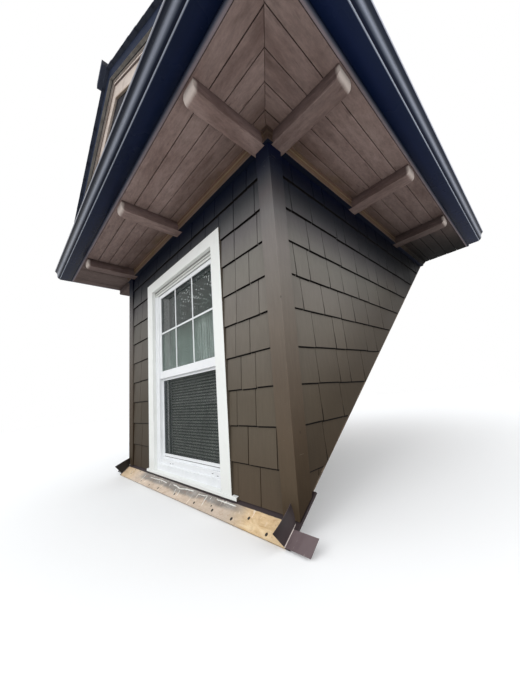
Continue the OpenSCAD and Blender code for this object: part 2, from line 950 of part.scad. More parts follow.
module rafters() {
    color("burlywood") {
        rafter_row(-1);
        rafter_row(1);
    }
}

// A sheet bent square: the upright leg runs on from the side wall's face, the other lies flat
module flashing(side) {
    wall_s = trim_face / cos(main_roof_angle);
    sided(side) rotate([main_roof_angle, 0, 0]) {
        span([side_face, wall_s - deck_show, deck_t],
             [side_face + flashing_t, wall_s - fit, deck_t + flashing_up]);
        span([side_face, wall_s - deck_show, deck_t],
             [side_face + flashing_flat, wall_s - deck_show + flashing_len, deck_t + flashing_t]);
    }
}

module left_flashing() {
    color("#241f1e") flashing(-1);
}

module right_flashing() {
    color("#4a3f3d") flashing(1);
}

apron_board();
side_soles();
front_wall();
left_cheek();
right_cheek();
left_corner_board();
right_corner_board();
front_siding();
left_siding();
right_siding();
window_casing();
window_sill();
window_frame();
upper_sash();
lower_sash();
window_glass();
insect_screen();
window_blind();
front_soffit();
left_soffit();
right_soffit();
lookouts();
front_bed_moulding();
left_bed_moulding();
right_bed_moulding();
front_fascia();
left_fascia();
right_fascia();
front_gutter();
right_gutter();
gable_panel();
left_rake_trim();
right_rake_trim();
left_rake_fascia();
right_rake_fascia();
ridge_board();
rafters();
left_roof_boarding();
right_roof_boarding();
left_shingles();
right_shingles();
ridge_cap();
left_flashing();
right_flashing();
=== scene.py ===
import math
import random
from functools import reduce

import bmesh
import bpy
from mathutils import Matrix, Vector


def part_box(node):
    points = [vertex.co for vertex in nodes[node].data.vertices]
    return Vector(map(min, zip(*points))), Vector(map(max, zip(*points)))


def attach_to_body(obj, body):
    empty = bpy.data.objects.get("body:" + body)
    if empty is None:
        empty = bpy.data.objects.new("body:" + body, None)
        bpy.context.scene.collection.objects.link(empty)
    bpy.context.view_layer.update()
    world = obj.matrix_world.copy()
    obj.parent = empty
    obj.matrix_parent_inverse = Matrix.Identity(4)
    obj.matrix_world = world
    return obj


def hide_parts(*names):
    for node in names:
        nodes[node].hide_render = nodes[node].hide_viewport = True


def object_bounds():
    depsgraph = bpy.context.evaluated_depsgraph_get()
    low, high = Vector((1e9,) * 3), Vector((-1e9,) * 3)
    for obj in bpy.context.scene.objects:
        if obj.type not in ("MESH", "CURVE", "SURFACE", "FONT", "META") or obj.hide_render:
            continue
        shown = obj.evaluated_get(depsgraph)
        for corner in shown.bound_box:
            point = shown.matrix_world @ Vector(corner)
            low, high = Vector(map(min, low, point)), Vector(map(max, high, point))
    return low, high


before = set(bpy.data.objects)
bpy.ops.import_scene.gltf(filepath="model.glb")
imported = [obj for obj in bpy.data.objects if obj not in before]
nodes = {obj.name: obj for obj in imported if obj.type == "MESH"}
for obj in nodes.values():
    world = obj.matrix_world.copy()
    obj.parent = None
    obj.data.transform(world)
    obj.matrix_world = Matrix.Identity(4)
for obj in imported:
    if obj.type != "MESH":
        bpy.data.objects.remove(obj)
cad_lo, cad_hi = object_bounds()
scene = bpy.context.scene

# The main roof's slope, then the dormer's own
ROOF_ANGLE = math.radians(38.2)
SLOPE = math.tan(ROOF_ANGLE)
ROOF_COS = math.cos(ROOF_ANGLE)
ROOF_SIN = math.sin(ROOF_ANGLE)
PITCH_ANGLE = math.radians(30.5)
PITCH_COS = math.cos(PITCH_ANGLE)
PITCH_SIN = math.sin(PITCH_ANGLE)
PITCH_TAN = math.tan(PITCH_ANGLE)

# Sizes shared by the pieces, in metres
DECK = 0.012
FIT = 0.0003
SHEATHING = -0.050
TRIM = -0.075
SIDE = 1.046
HALF_W = 1.071
WALL_TOP = 1.74025
SOFFIT = 1.80825
EAVE = 1.93225
FASCIA_BACK = -0.4585
FASCIA_FRONT = -0.4815
BACK_X = 1.496
FRONT_X = 1.519
RIDGE_UNDER = EAVE + FRONT_X * PITCH_TAN
BOARDING_TOP = RIDGE_UNDER + 0.012 / PITCH_COS
SHINGLE_FRONT = -0.5305
CAP_FRONT = SHINGLE_FRONT - 0.024
CAP_LIFT = 0.033
RIDGE_END = (BOARDING_TOP + CAP_LIFT / PITCH_COS - DECK / ROOF_COS) / SLOPE
SOFFIT_END = SOFFIT / SLOPE
LOOKOUT_X = (0.998, 0.038, -0.922)
LOOKOUT_Y = (-0.0075, 0.7475, 1.5025)
LOOKOUT_W = 0.088
LOOKOUT_H = 0.068
RIGHT_STRETCH = 1.16
MITRE_FROM = Vector((HALF_W, -0.086))
MITRE_TO = Vector((BACK_X, FASCIA_BACK))
WINDOW_X = 0.010
BLIND_LOW = 0.723
SLAT_STEP = 0.021
WHITE = (1, 1, 1, 1)


def srgb(r, g, b):
    """A linear colour from three values of 0 to 255."""
    out = []
    for c in (r, g, b):
        c /= 255
        out.append(c / 12.92 if c <= 0.04045 else ((c + 0.055) / 1.055) ** 2.4)
    return (*out, 1.0)


def between(a, b, t):
    """A colour or a point between two."""
    return tuple(p + (q - p) * t for p, q in zip(a, b))


def roof_z(y, lift):
    """Height of the main roof at a depth, raised square to it by lift."""
    return y * SLOPE + lift / ROOF_COS


# Camera at the photograph's place, its lens and centre measured in the photograph's pixels
PHOTO_W, PHOTO_H = 520, 693
LENS_PX, CENTRE_X, CENTRE_Y = 273.2, 296.7, 350.6
cam_data = bpy.data.cameras.new("photo_camera")
cam = bpy.data.objects.new("photo_camera", cam_data)
scene.collection.objects.link(cam)
right = Vector((0.730, 0.677, -0.089)).normalized()
forward = Vector((-0.663, 0.734, 0.148))
forward = (forward - forward.dot(right) * right).normalized()
up = right.cross(forward)
cam.matrix_world = Matrix((
    (right.x, up.x, -forward.x, 1.911),
    (right.y, up.y, -forward.y, -0.932),
    (right.z, up.z, -forward.z, 0.492),
    (0, 0, 0, 1)))
cam_data.sensor_width = 36
cam_data.lens = LENS_PX * cam_data.sensor_width / PHOTO_H
cam_data.shift_x = (PHOTO_W / 2 - CENTRE_X) / PHOTO_H
cam_data.shift_y = (CENTRE_Y - PHOTO_H / 2) / PHOTO_H
cam_data.clip_start = 0.01
cam_data.clip_end = 200
scene.camera = cam


# Materials
def attach(tree, socket, value):
    """Links a socket to another, or gives it a fixed value."""
    if isinstance(value, bpy.types.NodeSocket):
        tree.links.new(value, socket)
    else:
        socket.default_value = value


def add_node(tree, kind, inputs=(), **settings):
    """A shader node, its inputs given in order or by name."""
    n = tree.nodes.new("ShaderNode" + kind)
    for key, value in settings.items():
        setattr(n, key, value)
    for key, value in inputs.items() if isinstance(inputs, dict) else enumerate(inputs):
        attach(tree, n.inputs[key], value)
    return n


class Look:
    """A Principled material whose colour is built up in coats."""

    def __init__(self, name):
        self.colour = WHITE
        self.mat = bpy.data.materials.new(name)
        self.mat.use_nodes = True
        self.tree = self.mat.node_tree
        self.bsdf = next(n for n in self.tree.nodes if n.type == "BSDF_PRINCIPLED")
        self.coord = add_node(self.tree, "TexCoord").outputs["Object"]

    def math(self, op, *values):
        return add_node(self.tree, "Math", values, operation=op).outputs[0]

    def add(self, *values):
        return reduce(lambda a, b: self.math("ADD", a, b), values)

    def mul(self, *values):
        return reduce(lambda a, b: self.math("MULTIPLY", a, b), values)

    def most(self, *values):
        return reduce(lambda a, b: self.math("MAXIMUM", a, b), values)

    def sub(self, a, b):
        return self.math("SUBTRACT", a, b)

    def size(self, a):
        return self.math("ABSOLUTE", a)

    def above(self, a, limit):
        return self.math("GREATER_THAN", a, limit)

    def below(self, a, limit):
        return self.math("LESS_THAN", a, limit)

    def repeat(self, v, step):
        """How far a place is from the middle of its repeat, in repeats."""
        return self.size(self.sub(self.math("FRACT", self.math("DIVIDE", v, step)), 0.5))

    def axes(self, vector=None):
        return add_node(self.tree, "SeparateXYZ", [vector or self.coord]).outputs[:]

    def normal(self):
        return self.axes(add_node(self.tree, "NewGeometry").outputs["Normal"])

    def tone(self):
        return add_node(self.tree, "Attribute", attribute_name="tone").outputs["Fac"]

    def vector(self, op, a, b):
        inputs = {0: a, "Scale" if op == "SCALE" else 1: b}
        return add_node(self.tree, "VectorMath", inputs, operation=op).outputs["Vector"]

    def stretch(self, x, y, z):
        return self.vector("MULTIPLY", self.coord, (x, y, z))

    def scale(self, colour, by):
        """A colour made brighter or darker by a factor."""
        return self.vector("SCALE", colour, by)

    def noise(self, scale, vector=None, detail=3.0, rough=0.55, distort=0.0):
        return add_node(self.tree, "TexNoise", {
            "Vector": vector or self.coord, "Scale": scale, "Detail": detail, "Roughness": rough,
            "Distortion": distort}).outputs[0]

    def cells(self, scale, vector=None, kind="Distance"):
        inputs = {"Vector": vector or self.coord, "Scale": scale}
        return add_node(self.tree, "TexVoronoi", inputs).outputs[kind]

    def band(self, v, lo, hi, a=0.0, b=1.0):
        """v from lo to hi mapped to a to b, held at both ends."""
        return add_node(self.tree, "MapRange", (v, lo, hi, a, b)).outputs[0]

    def mix(self, fac, a, b, blend="MIX"):
        return add_node(self.tree, "Mix", {0: fac, 6: a, 7: b}, data_type="RGBA", blend_type=blend).outputs[2]

    def tint(self, a, b):
        """Two colours multiplied."""
        return self.mix(1.0, a, b, "MULTIPLY")

    def levels(self, value, *stops, lo=0.0, hi=1.0, stepped=False):
        """A ramp from lo to hi through linear colours, each stop a place and a grey or three values."""
        if (lo, hi) != (0.0, 1.0):
            value = self.band(value, lo, hi)
        n = add_node(self.tree, "ValToRGB", [value])
        n.color_ramp.interpolation = "CONSTANT" if stepped else "LINEAR"
        marks = n.color_ramp.elements
        while len(marks) < len(stops):
            marks.new(0.5)
        for mark, (at, *colour) in zip(marks, stops):
            mark.position = (at - lo) / (hi - lo)
            mark.color = (*(colour * 3)[:3], 1.0)
        return n.outputs[0]

    def shades(self, value, *stops, **more):
        """A ramp through paints, each stop a place and three values of 0 to 255."""
        return self.levels(value, *[(at, *srgb(*colour)) for at, *colour in stops], **more)

    def coat(self, paint, *amounts):
        """Lays a paint over the colour so far, as thick as its amounts multiplied."""
        if isinstance(paint, tuple) and len(paint) == 3:
            paint = srgb(*paint)
        self.colour = self.mix(self.mul(*amounts), self.colour, paint)

    def dim(self, *factors):
        """Makes the colour so far darker, or brighter with factors over 1."""
        self.colour = self.scale(self.colour, self.mul(*factors))

    def done(self, rough, bump=None, specular=0.5, metal=0.0, alpha=1.0):
        """The finished material; bump is a height with its strength and its distance."""
        values = {"Base Color": self.colour, "Roughness": rough, "Metallic": metal, "Alpha": alpha,
                  "Specular IOR Level": specular}
        if bump:
            height, strength, distance = bump
            values["Normal"] = add_node(self.tree, "Bump", {
                "Strength": strength, "Distance": distance, "Height": height}).outputs[0]
        for key, value in values.items():
            attach(self.tree, self.bsdf.inputs[key], value)
        return self.mat


# The siding's and the corner boards' paint at heights up the wall, its top stops painted shade that turns it
# blue-black under the eave
WALL_TONES_AND_SHADE = [(0.0, 80, 69, 57), (0.11, 81, 71, 59), (0.35, 89, 81, 70), (0.47, 91, 83, 72),
              (0.65, 102, 95, 86), (0.83, 112, 106, 98), (1.01, 116, 111, 105), (1.19, 118, 115, 109),
              (1.31, 115, 112, 109), (1.40, 104, 101, 101), (1.49, 85, 85, 86), (1.55, 64, 65, 68),
              (1.60, 50, 52, 58), (1.66, 26, 31, 43), (1.73, 12, 20, 40)]
BOARD_TONES_AND_SHADE = [(0.0, 72, 60, 46), (0.10, 82, 70, 56), (0.29, 88, 76, 63), (0.53, 95, 84, 73),
               (0.77, 107, 98, 89), (1.01, 116, 110, 104), (1.25, 120, 115, 112), (1.37, 113, 110, 109),
               (1.49, 88, 84, 85), (1.56, 66, 66, 70), (1.61, 48, 51, 60), (1.66, 22, 28, 44),
               (1.73, 9, 17, 40)]


def siding_paint(name, trim=False):
    """Olive-brown wall paint, faded higher up and warm near the roof, with painted shade: blue-black under
    the eave, darker on the side walls near the main roof and further back, on the front wall's left, in the
    joints and under the butts.
    """
    k = Look(name)
    x, y, z = k.axes()
    nx, ny, nz = k.normal()
    k.colour = k.shades(z, *(BOARD_TONES_AND_SHADE if trim else WALL_TONES_AND_SHADE), lo=0.0, hi=1.75)
    # Painted shade on the side walls: darker near the main roof, under the eave, further back, and high up
    # towards the back
    painted_shade = k.levels(k.sub(z, k.mul(y, SLOPE)), *[(h, v, v * w, v * w * w) for h, v, w in (
        (0.0, 0.55, 0.92), (0.20, 0.55, 0.93), (0.34, 0.66, 0.95), (0.50, 0.82, 0.98), (0.70, 0.92, 1.0),
        (1.06, 1.0, 1.0))], lo=0.0, hi=1.25)
    top_shade = k.levels(z, *[(h, v, v * w ** 0.3, v * w) for h, v, w in (
        (1.0, 1.0, 1.0), (1.19, 1.0, 1.0), (1.37, 0.76, 1.0), (1.49, 0.53, 1.03), (1.55, 0.47, 1.12),
        (1.61, 0.40, 1.4), (1.67, 0.42, 1.7), (1.73, 0.66, 1.8))], lo=1.0, hi=1.75)
    back_shade = k.levels(y, (0.3, 1.0), (0.65, 0.86), (1.25, 0.68), (2.0, 0.45), lo=0.3, hi=2.3)
    high_shade = k.mix(k.band(z, 1.28, 1.56), WHITE, k.levels(
        y, (0.0, 0.86, 0.86, 0.90), (0.645, 0.68, 0.68, 0.74), (1.275, 0.42, 0.44, 0.52), lo=0.0, hi=1.5))
    side_shade = k.tint(k.tint(painted_shade, top_shade), k.tint(back_shade, high_shade))
    k.coat(k.tint(k.colour, side_shade), k.band(k.size(nx), 0.4, 0.7))
    # Painted shade: the front wall darker towards its left, and the left corner board darker than the right
    k.dim(k.band(x, -1.0, 1.0, 0.70, 1.0) if trim else k.band(x, -0.60, 0.55, 0.68, 1.0))
    streak = k.noise(14, k.stretch(6, 6, 0.6), 4, 0.6)
    blotch = k.noise(2.3, detail=4, rough=0.6)
    fine = k.noise(160, k.stretch(1, 1, 0.18), 3, 0.7)
    change = k.add(k.band(streak, 0.3, 0.7, -0.05, 0.05), k.band(blotch, 0.3, 0.7, -0.07, 0.07),
                   k.band(fine, 0.3, 0.7, -0.03, 0.03))
    if trim:
        k.dim(k.add(change, 1.0))
        dents = k.below(k.cells(9, k.stretch(1, 1, 0.62)), 0.035)
        k.coat((34, 28, 24), dents, 0.45)
        lines = k.above(k.noise(3.1, k.stretch(3, 3, 90), 2, 0.5), 0.72)
        worn = k.mul(lines, k.above(blotch, 0.55))
        k.coat((150, 140, 128), worn, 0.25)
    else:
        # Tones: near 0 for the lower layer, dimmed as painted shade in the joints, below 0 for the shadow
        # lines, painted near black
        k.dim(k.add(change, k.band(k.tone(), 0, 1, -0.07, 0.06), 1.0))
        k.dim(k.band(k.tone(), 0.03, 0.06, 0.40, 1.0))
        k.coat((20, 16, 14), k.below(k.tone(), -0.5))
        # Painted shade: the butts' undersides near black, and on the side walls the shingles' ends in the
        # joints dark
        k.coat((16, 13, 13), k.below(nz, -0.35))
        joint = k.mul(k.above(k.size(x), 1.06), k.above(k.size(ny), 0.6))
        k.coat((16, 13, 13), joint, 0.8)
    height = k.add(k.mul(fine, 0.5), streak)
    return k.done(k.band(blotch, 0.3, 0.7, 0.55, 0.72), (height, 0.18, 0.0012), 0.1)


def wood_paint(name, along, base, dark, light, knots=0.55, beams=False):
    """Thin old paint on boards that run along one axis, with grain, knots, dirt and stains, and painted shade
    along the wall and under the eave; beams get painted light and shade on their faces and worn bright tips.
    """
    k = Look(name)
    x, y, z = k.axes()

    def run(u, v, w):
        return k.stretch(*((u, v, w) if along == "x" else (v, u, w)))

    warp = k.mul(k.noise(3, detail=2), 0.7)
    grain = k.noise(5, k.vector("ADD", run(0.9, 14, 14), warp), 6, 0.65, 0.3)
    blotch = k.noise(1.6, run(1.4, 5, 5), 5, 0.62)
    k.colour = k.levels(blotch, (0.25, *dark), (0.5, *base), (0.78, *light))
    k.dim(k.add(k.band(grain, 0.3, 0.7, -0.09, 0.08), 1.0))
    k.dim(k.band(k.tone(), 0, 1, 0.95, 1.05))
    speckle = k.noise(55, run(0.35, 1, 1), 4, 0.75)
    k.dim(k.band(speckle, 0.32, 0.68, 0.80, 1.16))
    scuff = k.noise(17, run(0.5, 1, 1), 5, 0.8)
    k.coat(dark, k.band(scuff, 0.60, 0.72, 0.0, 0.45))
    k.coat(light, k.band(scuff, 0.38, 0.28, 0.0, 0.4))
    cell = k.cells(1.0, run(3.6, 11, 0.01))
    rings = k.band(k.math("SINE", k.mul(cell, 70)), -1, 1, 0.35, 1)
    knot = k.mul(k.band(cell, 0.10, 0.02), rings, k.above(k.noise(1.9, detail=1), 0.47), knots)
    k.coat(between(dark, srgb(44, 28, 24), 0.7), knot)
    dash = k.noise(7, run(1.2, 9, 9), 2, 0.4)
    k.coat((70, 48, 42), k.band(dash, 0.68, 0.74, 0.0, 0.35))
    if beams:
        eave_shade(k, x, y)
        # Painted light and shade: the front beams brighter, the side beams nearest the front darker, and
        # their flanks darker towards the soffit
        k.dim(k.band(y, 0.3, 0.5, 0.78, 1.0) if along == "x" else 1.12)
        nx, ny, nz = k.normal()
        shaded = k.levels(k.band(z, WALL_TOP, SOFFIT),
                          (0.0, 0.76, 0.74, 0.75), (0.5, 0.66, 0.64, 0.66), (0.93, 0.44, 0.42, 0.44))
        k.coat(k.tint(k.colour, shaded), k.band(k.size(ny if along == "x" else nx), 0.5, 0.8))
        past = k.most(k.sub(FASCIA_BACK, y), k.sub(k.size(x), BACK_X))
        ragged = k.add(past, k.mul(k.sub(k.noise(30, detail=4), 0.5), 0.012))
        tip = k.mul(k.band(ragged, -0.026, -0.012), k.band(z, SOFFIT - 0.008, SOFFIT - 0.020), 0.85)
        k.coat((214, 202, 194), tip)
    else:
        wall_stain_and_shade(k, x, y)
    height = k.add(grain, k.mul(knot, -0.5))
    return k.done(k.band(blotch, 0.3, 0.7, 0.6, 0.78), (height, 0.35, 0.0015), 0.15)


def wall_stain_and_shade(k, x, y):
    """Painted brown shade along the joint of wall and soffit, yellow-green growth there, then the eave's
    painted shade.
    """
    away = k.most(k.sub(TRIM, y), k.sub(x, HALF_W), k.sub(-HALF_W, x))
    # Painted shade: darker towards the wall
    k.coat((84, 66, 54), k.band(away, 0.17, 0.02), 0.55)
    spots = k.band(k.noise(6.5, detail=4, rough=0.7), 0.52, 0.66)
    k.coat((118, 100, 56), spots, k.band(away, 0.085, 0.01), 0.45)
    eave_shade(k, x, y)


def eave_shade(k, x, y):
    """Paints shade on the eave: darker towards the main roof, along the left side, and by the wall at the
    right front corner.
    """
    deep = k.levels(y, *[(h, v, v * w, v * w) for h, v, w in (
        (0.4, 0.94, 0.98), (0.75, 0.86, 0.98), (1.15, 0.72, 0.98), (1.50, 0.50, 0.99), (1.75, 0.30, 0.99),
        (1.95, 0.11, 1.0), (2.15, 0.03, 1.05), (2.3, 0.02, 1.1))], lo=0.4, hi=2.3)
    near = k.mul(k.band(y, 0.7, 1.9), k.band(k.size(x), 1.42, 1.08, 0.0, 0.45))
    last = k.mul(k.band(y, 1.52, 1.72), k.band(k.size(x), 1.47, 1.32, 0.0, 0.4))
    k.colour = k.tint(k.colour, deep)
    k.dim(k.sub(1.0, near), k.sub(1.0, last))
    across = k.levels(x, (-1.2, 0.50), (-1.0, 0.58), (-0.85, 0.76), (-0.4, 0.86), (0.1, 0.97), (0.3, 1.0),
                      lo=-1.2, hi=0.4)
    corner = k.mul(k.band(x, 1.02, 1.12), k.band(y, 0.02, -0.10), 0.18)
    k.colour = k.tint(k.colour, across)
    k.dim(k.sub(1.0, corner))


def moulding_paint(name):
    """Old ochre paint in strips that follow the steps of the moulding, mossy in places; the strips' light and
    dark are partly painted light and shade on the steps, and the undersides at the wall are painted
    navy-black shade.
    """
    k = Look(name)
    x, y, z = k.axes()
    nx, ny, nz = k.normal()
    up = k.band(z, WALL_TOP, SOFFIT)
    # Strips: partly the paint's own tones, partly painted light and shade on the steps
    k.colour = k.shades(
        up, (0.0, 60, 48, 44), (0.02, 124, 105, 94), (0.14, 140, 124, 110), (0.19, 112, 92, 78),
        (0.34, 134, 112, 92), (0.40, 126, 102, 84), (0.52, 112, 90, 72), (0.60, 130, 112, 90),
        (0.70, 112, 88, 74), (0.82, 98, 77, 67), (0.88, 128, 104, 92), (0.97, 70, 56, 50), stepped=True)
    k.dim(k.band(k.noise(4.5, detail=4), 0.3, 0.7, 0.84, 1.12))
    k.coat((110, 94, 56), k.band(k.noise(7, detail=4), 0.55, 0.70), 0.35)
    eave_shade(k, x, y)
    corner = k.mul(k.band(x, 1.035, 1.06), k.band(y, -0.03, -0.06), 0.7)
    k.coat((52, 40, 36), corner)
    # Painted shade: navy-black on the undersides at the wall's edge
    k.coat((16, 22, 38), k.below(nz, -0.5), k.below(up, 0.05))
    return k.done(0.7, (k.noise(12, detail=5, rough=0.7), 0.3, 0.0012), 0.15)


def white_paint(name, base, dirt, rough=0.38, casing=False, vinyl=False):
    """White paint or vinyl with faint dirt.

    The casing's outer sides carry the wall's paint, and painted shade lines sit in the steps of the vinyl
    frame's head.
    """
    k = Look(name)
    x, y, z = k.axes()
    smudge = k.noise(9, detail=5, rough=0.7)
    k.colour = base
    k.coat(dirt, k.band(smudge, 0.52, 0.80, 0.0, 0.16))
    k.coat(dirt, k.band(k.noise(2.1, detail=2), 0.4, 0.8, 0.0, 0.10))
    k.coat(dirt, k.band(z, 0.10, -0.04, 0.0, 0.14))
    if casing:
        nx, ny, nz = k.normal()
        outside = k.above(k.size(k.sub(x, WINDOW_X)), 0.55)
        k.coat((78, 70, 60), k.above(k.size(nx), 0.85), outside)
    if vinyl:
        # Painted shade: dark lines in the steps of the frame's head
        painted_shade = k.levels(z, *[(h, v, v, v * 0.94) for h, v in (
            (1.396, 0.46), (1.399, 0.84), (1.4085, 0.64), (1.415, 0.48), (1.4185, 0.86), (1.429, 0.40))],
            lo=1.396, hi=1.438, stepped=True)
        k.coat(k.tint(k.colour, painted_shade), k.above(z, 1.3967), k.below(y, -0.03))
    return k.done(k.band(smudge, 0.3, 0.8, rough, rough + 0.15), (k.noise(60, detail=2), 0.05, 0.0006))


def navy_coat(k, cloud):
    """The clouded, specked navy that fascias and gutters share."""
    k.colour = k.shades(cloud, (0.3, 24, 30, 45), (0.55, 32, 39, 56), (0.75, 40, 47, 66))
    k.coat((92, 96, 104), k.below(k.cells(70), 0.08), 0.35)


def gutter_paint(name):
    """Navy sheet with painted light in bands across its width: a bright line along the fold, a highlight on
    the curve and a bright lip, brighter on the right run, and painted shade by the fascia.
    """
    k = Look(name)
    x, y, z = k.axes()
    nx, ny, nz = k.normal()
    cloud = k.noise(2.4, detail=4, rough=0.6)
    navy_coat(k, cloud)
    front = k.sub(FASCIA_FRONT, y)
    side = k.math("DIVIDE", k.sub(k.size(x), FRONT_X), RIGHT_STRETCH)
    out = k.most(front, side)
    # Bands across the width: painted shade by the fascia, painted highlights along the fold, on the curve and
    # at the lip
    bands = k.shades(
        out, (0.0, 4, 10, 28), (0.006, 4, 15, 40), (0.04, 18, 28, 56), (0.081, 24, 33, 56),
        (0.0830, 120, 128, 144), (0.0854, 160, 166, 178), (0.0861, 24, 28, 42), (0.094, 26, 32, 48),
        (0.0985, 66, 72, 84), (0.1025, 96, 101, 114), (0.1042, 112, 117, 130), (0.106, 78, 83, 94),
        (0.109, 34, 38, 48), (0.1195, 22, 26, 36), (0.1212, 120, 122, 132), lo=0.0, hi=0.125)
    # Painted highlight: the right run brighter below its lip
    bands = k.mix(k.band(k.sub(side, front), 0.0, 0.004), bands,
                  k.scale(bands, k.band(out, 0.108, 0.117, 1.5, 2.6)))
    k.coat(bands, 0.93)
    k.coat((70, 74, 80), k.band(nz, 0.5, 0.7))
    k.dim(k.band(k.noise(3, k.stretch(1, 1, 24), 3), 0.3, 0.7, 0.90, 1.10))
    return k.done(k.band(cloud, 0.3, 0.7, 0.22, 0.34), (cloud, 0.05, 0.002), 0.07)


def navy_paint(name):
    """Navy paint on the fascias, with dirty undersides."""
    k = Look(name)
    x, y, z = k.axes()
    nx, ny, nz = k.normal()
    navy_coat(k, k.noise(2.4, detail=4, rough=0.6))
    k.dim(1.25)
    out = k.most(k.sub(FASCIA_FRONT, y), k.sub(k.size(x), FRONT_X))
    dirt = k.shades(k.band(out, FASCIA_FRONT - FASCIA_BACK, 0.0), (0.0, 44, 37, 39), (0.06, 138, 125, 129),
                    (0.35, 141, 131, 137), (0.56, 108, 106, 115), (0.80, 60, 66, 81), (1.0, 22, 27, 42))
    dirt = k.scale(dirt, k.band(k.noise(5, detail=5, rough=0.7), 0.3, 0.7, 0.82, 1.12))
    rake = k.band(y, FASCIA_FRONT - 0.008, FASCIA_FRONT - 0.010)
    soiled = k.shades(k.noise(12, detail=5, rough=0.7), (0.3, 104, 102, 99), (0.7, 142, 140, 136))
    k.coat(k.mix(rake, dirt, soiled), k.below(nz, -0.5))
    return k.done(0.7, (k.noise(30, k.stretch(0.3, 1, 1), 3), 0.1, 0.001), 0.05)


def timber(name, along, base, dark, seams=None):
    """Bare sawn wood or boards; seams is the distance between their joints across X."""
    k = Look(name)
    across, length = 12, 0.7
    grain = k.noise(6, k.stretch(*[length if axis == along else across for axis in "xyz"]), 6, 0.65, 0.5)
    k.colour = k.levels(grain, (0.3, *dark), (0.55, *base), (0.8, *between(base, WHITE, 0.15)))
    k.dim(k.band(k.noise(1.7, detail=4), 0.3, 0.7, 0.88, 1.08))
    if seams:
        edge = k.repeat(k.axes()[0], seams)
        k.coat(between(dark, (0, 0, 0, 1), 0.7), k.above(edge, 0.5 - 0.0016 / seams))
    return k.done(0.75, (grain, 0.35, 0.0015))


def strand_board(name):
    """Pressed strand board: inside, plaster in a dark grey-green painted as the room's shade; dark felt
    outside.
    """
    k = Look(name)
    x, y, z = k.axes()
    nx, ny, nz = k.normal()
    wide = k.axes(k.cells(46, k.stretch(1, 1, 0.35), "Color"))[0]
    tall = k.axes(k.cells(38, k.stretch(0.4, 0.4, 1), "Color"))[1]
    strands = k.add(k.mul(wide, 0.5), k.mul(tall, 0.5))
    fine = k.noise(90, detail=3)
    k.colour = k.shades(strands, (0.1, 140, 104, 66), (0.5, 186, 148, 102), (0.9, 212, 178, 132))
    k.dim(k.band(fine, 0.3, 0.7, 0.9, 1.08))
    outward = k.mul(nx, x)
    # Painted shade: the inner faces dark grey-green, as the room in shade
    inside = k.most(k.above(ny, 0.9), k.below(outward, -0.1))
    k.coat(k.shades(k.noise(5, detail=4), (0.3, 60, 66, 60), (0.7, 84, 90, 82)), inside)
    k.coat(k.shades(fine, (0.3, 46, 40, 34), (0.7, 66, 58, 49)), k.above(outward, 0.5))
    return k.done(0.7, (strands, 0.25, 0.001))


def plywood(name):
    """The bare strip under the window: tan, golden at its ends, stained grey under the sill, with a dark
    painted shade line along the wall's foot and at its ends.
    """
    k = Look(name)
    x, y, z = k.axes()
    along = k.mul(k.sub(y, TRIM), 1 / ROOF_COS)
    grain = k.noise(5, k.stretch(1.1, 16, 16), 6, 0.7, 0.8)
    blotch = k.noise(4.5, k.stretch(1, 2, 2), 5, 0.7)
    k.colour = k.shades(blotch, (0.25, 168, 148, 130), (0.5, 200, 182, 163), (0.75, 218, 200, 182))
    gold = k.shades(k.noise(9, k.stretch(1, 3, 3), 6, 0.7, 1.2),
                    (0.3, 184, 150, 104), (0.5, 208, 180, 140), (0.7, 224, 202, 164))
    warm = k.most(k.band(x, 0.62, 0.78), k.mul(k.band(x, -0.72, -0.86), 0.6))
    k.coat(gold, warm)
    wave = k.mul(k.sub(k.noise(7, k.stretch(1, 0.2, 0.2), 4, 0.65), 0.5), 0.05)
    reach = k.band(x, 0.10, 0.35, 0.0, 0.014)
    grey = k.mul(k.band(k.sub(k.add(along, wave), reach), -0.062, -0.046),
                 k.mul(k.band(x, 0.74, 0.60), k.band(x, -0.70, -0.60)), 0.85)
    stain = k.shades(k.noise(11, detail=5, rough=0.7), (0.3, 92, 89, 87), (0.55, 130, 127, 124),
                     (0.8, 166, 164, 160))
    k.coat(stain, grey)
    k.dim(k.sub(1.0, k.mul(k.band(x, 0.25, 0.45), k.band(x, 0.78, 0.66, 0.0, 0.2))))
    ragged = k.mul(k.sub(k.noise(30, k.stretch(1, 0.1, 0.1), 3), 0.5), 0.004)
    step = k.mul(k.band(x, 0.60, 0.64, 1.0, 0.0), 0.003)
    # Painted shade: a dark line along the wall's foot and at the strip's ends by the side walls
    foot_shade_line = k.most(k.band(k.add(along, k.add(ragged, step)), -0.0035, -0.0015),
                      k.band(k.size(x), SIDE, SIDE + 0.002))
    scratch = k.noise(1.0, k.stretch(40, 9, 0.01), 2, 0.4)
    k.coat((240, 228, 214), k.band(scratch, 0.66, 0.70, 0.0, 0.55))
    spots = k.cells(20, k.stretch(1, 1.6, 1))
    k.coat((120, 84, 60), k.band(spots, 0.05, 0.02, 0.0, 0.7))
    k.dim(k.band(grain, 0.3, 0.7, 0.90, 1.06))
    mottle = k.noise(26, k.stretch(1, 1.4, 1.4), 4, 0.75)
    k.coat((150, 112, 86), k.band(mottle, 0.56, 0.70, 0.0, 0.5))
    k.coat((236, 220, 200), k.band(mottle, 0.42, 0.30, 0.0, 0.35))
    k.coat((44, 32, 34), foot_shade_line)
    return k.done(0.75, (grain, 0.3, 0.001))


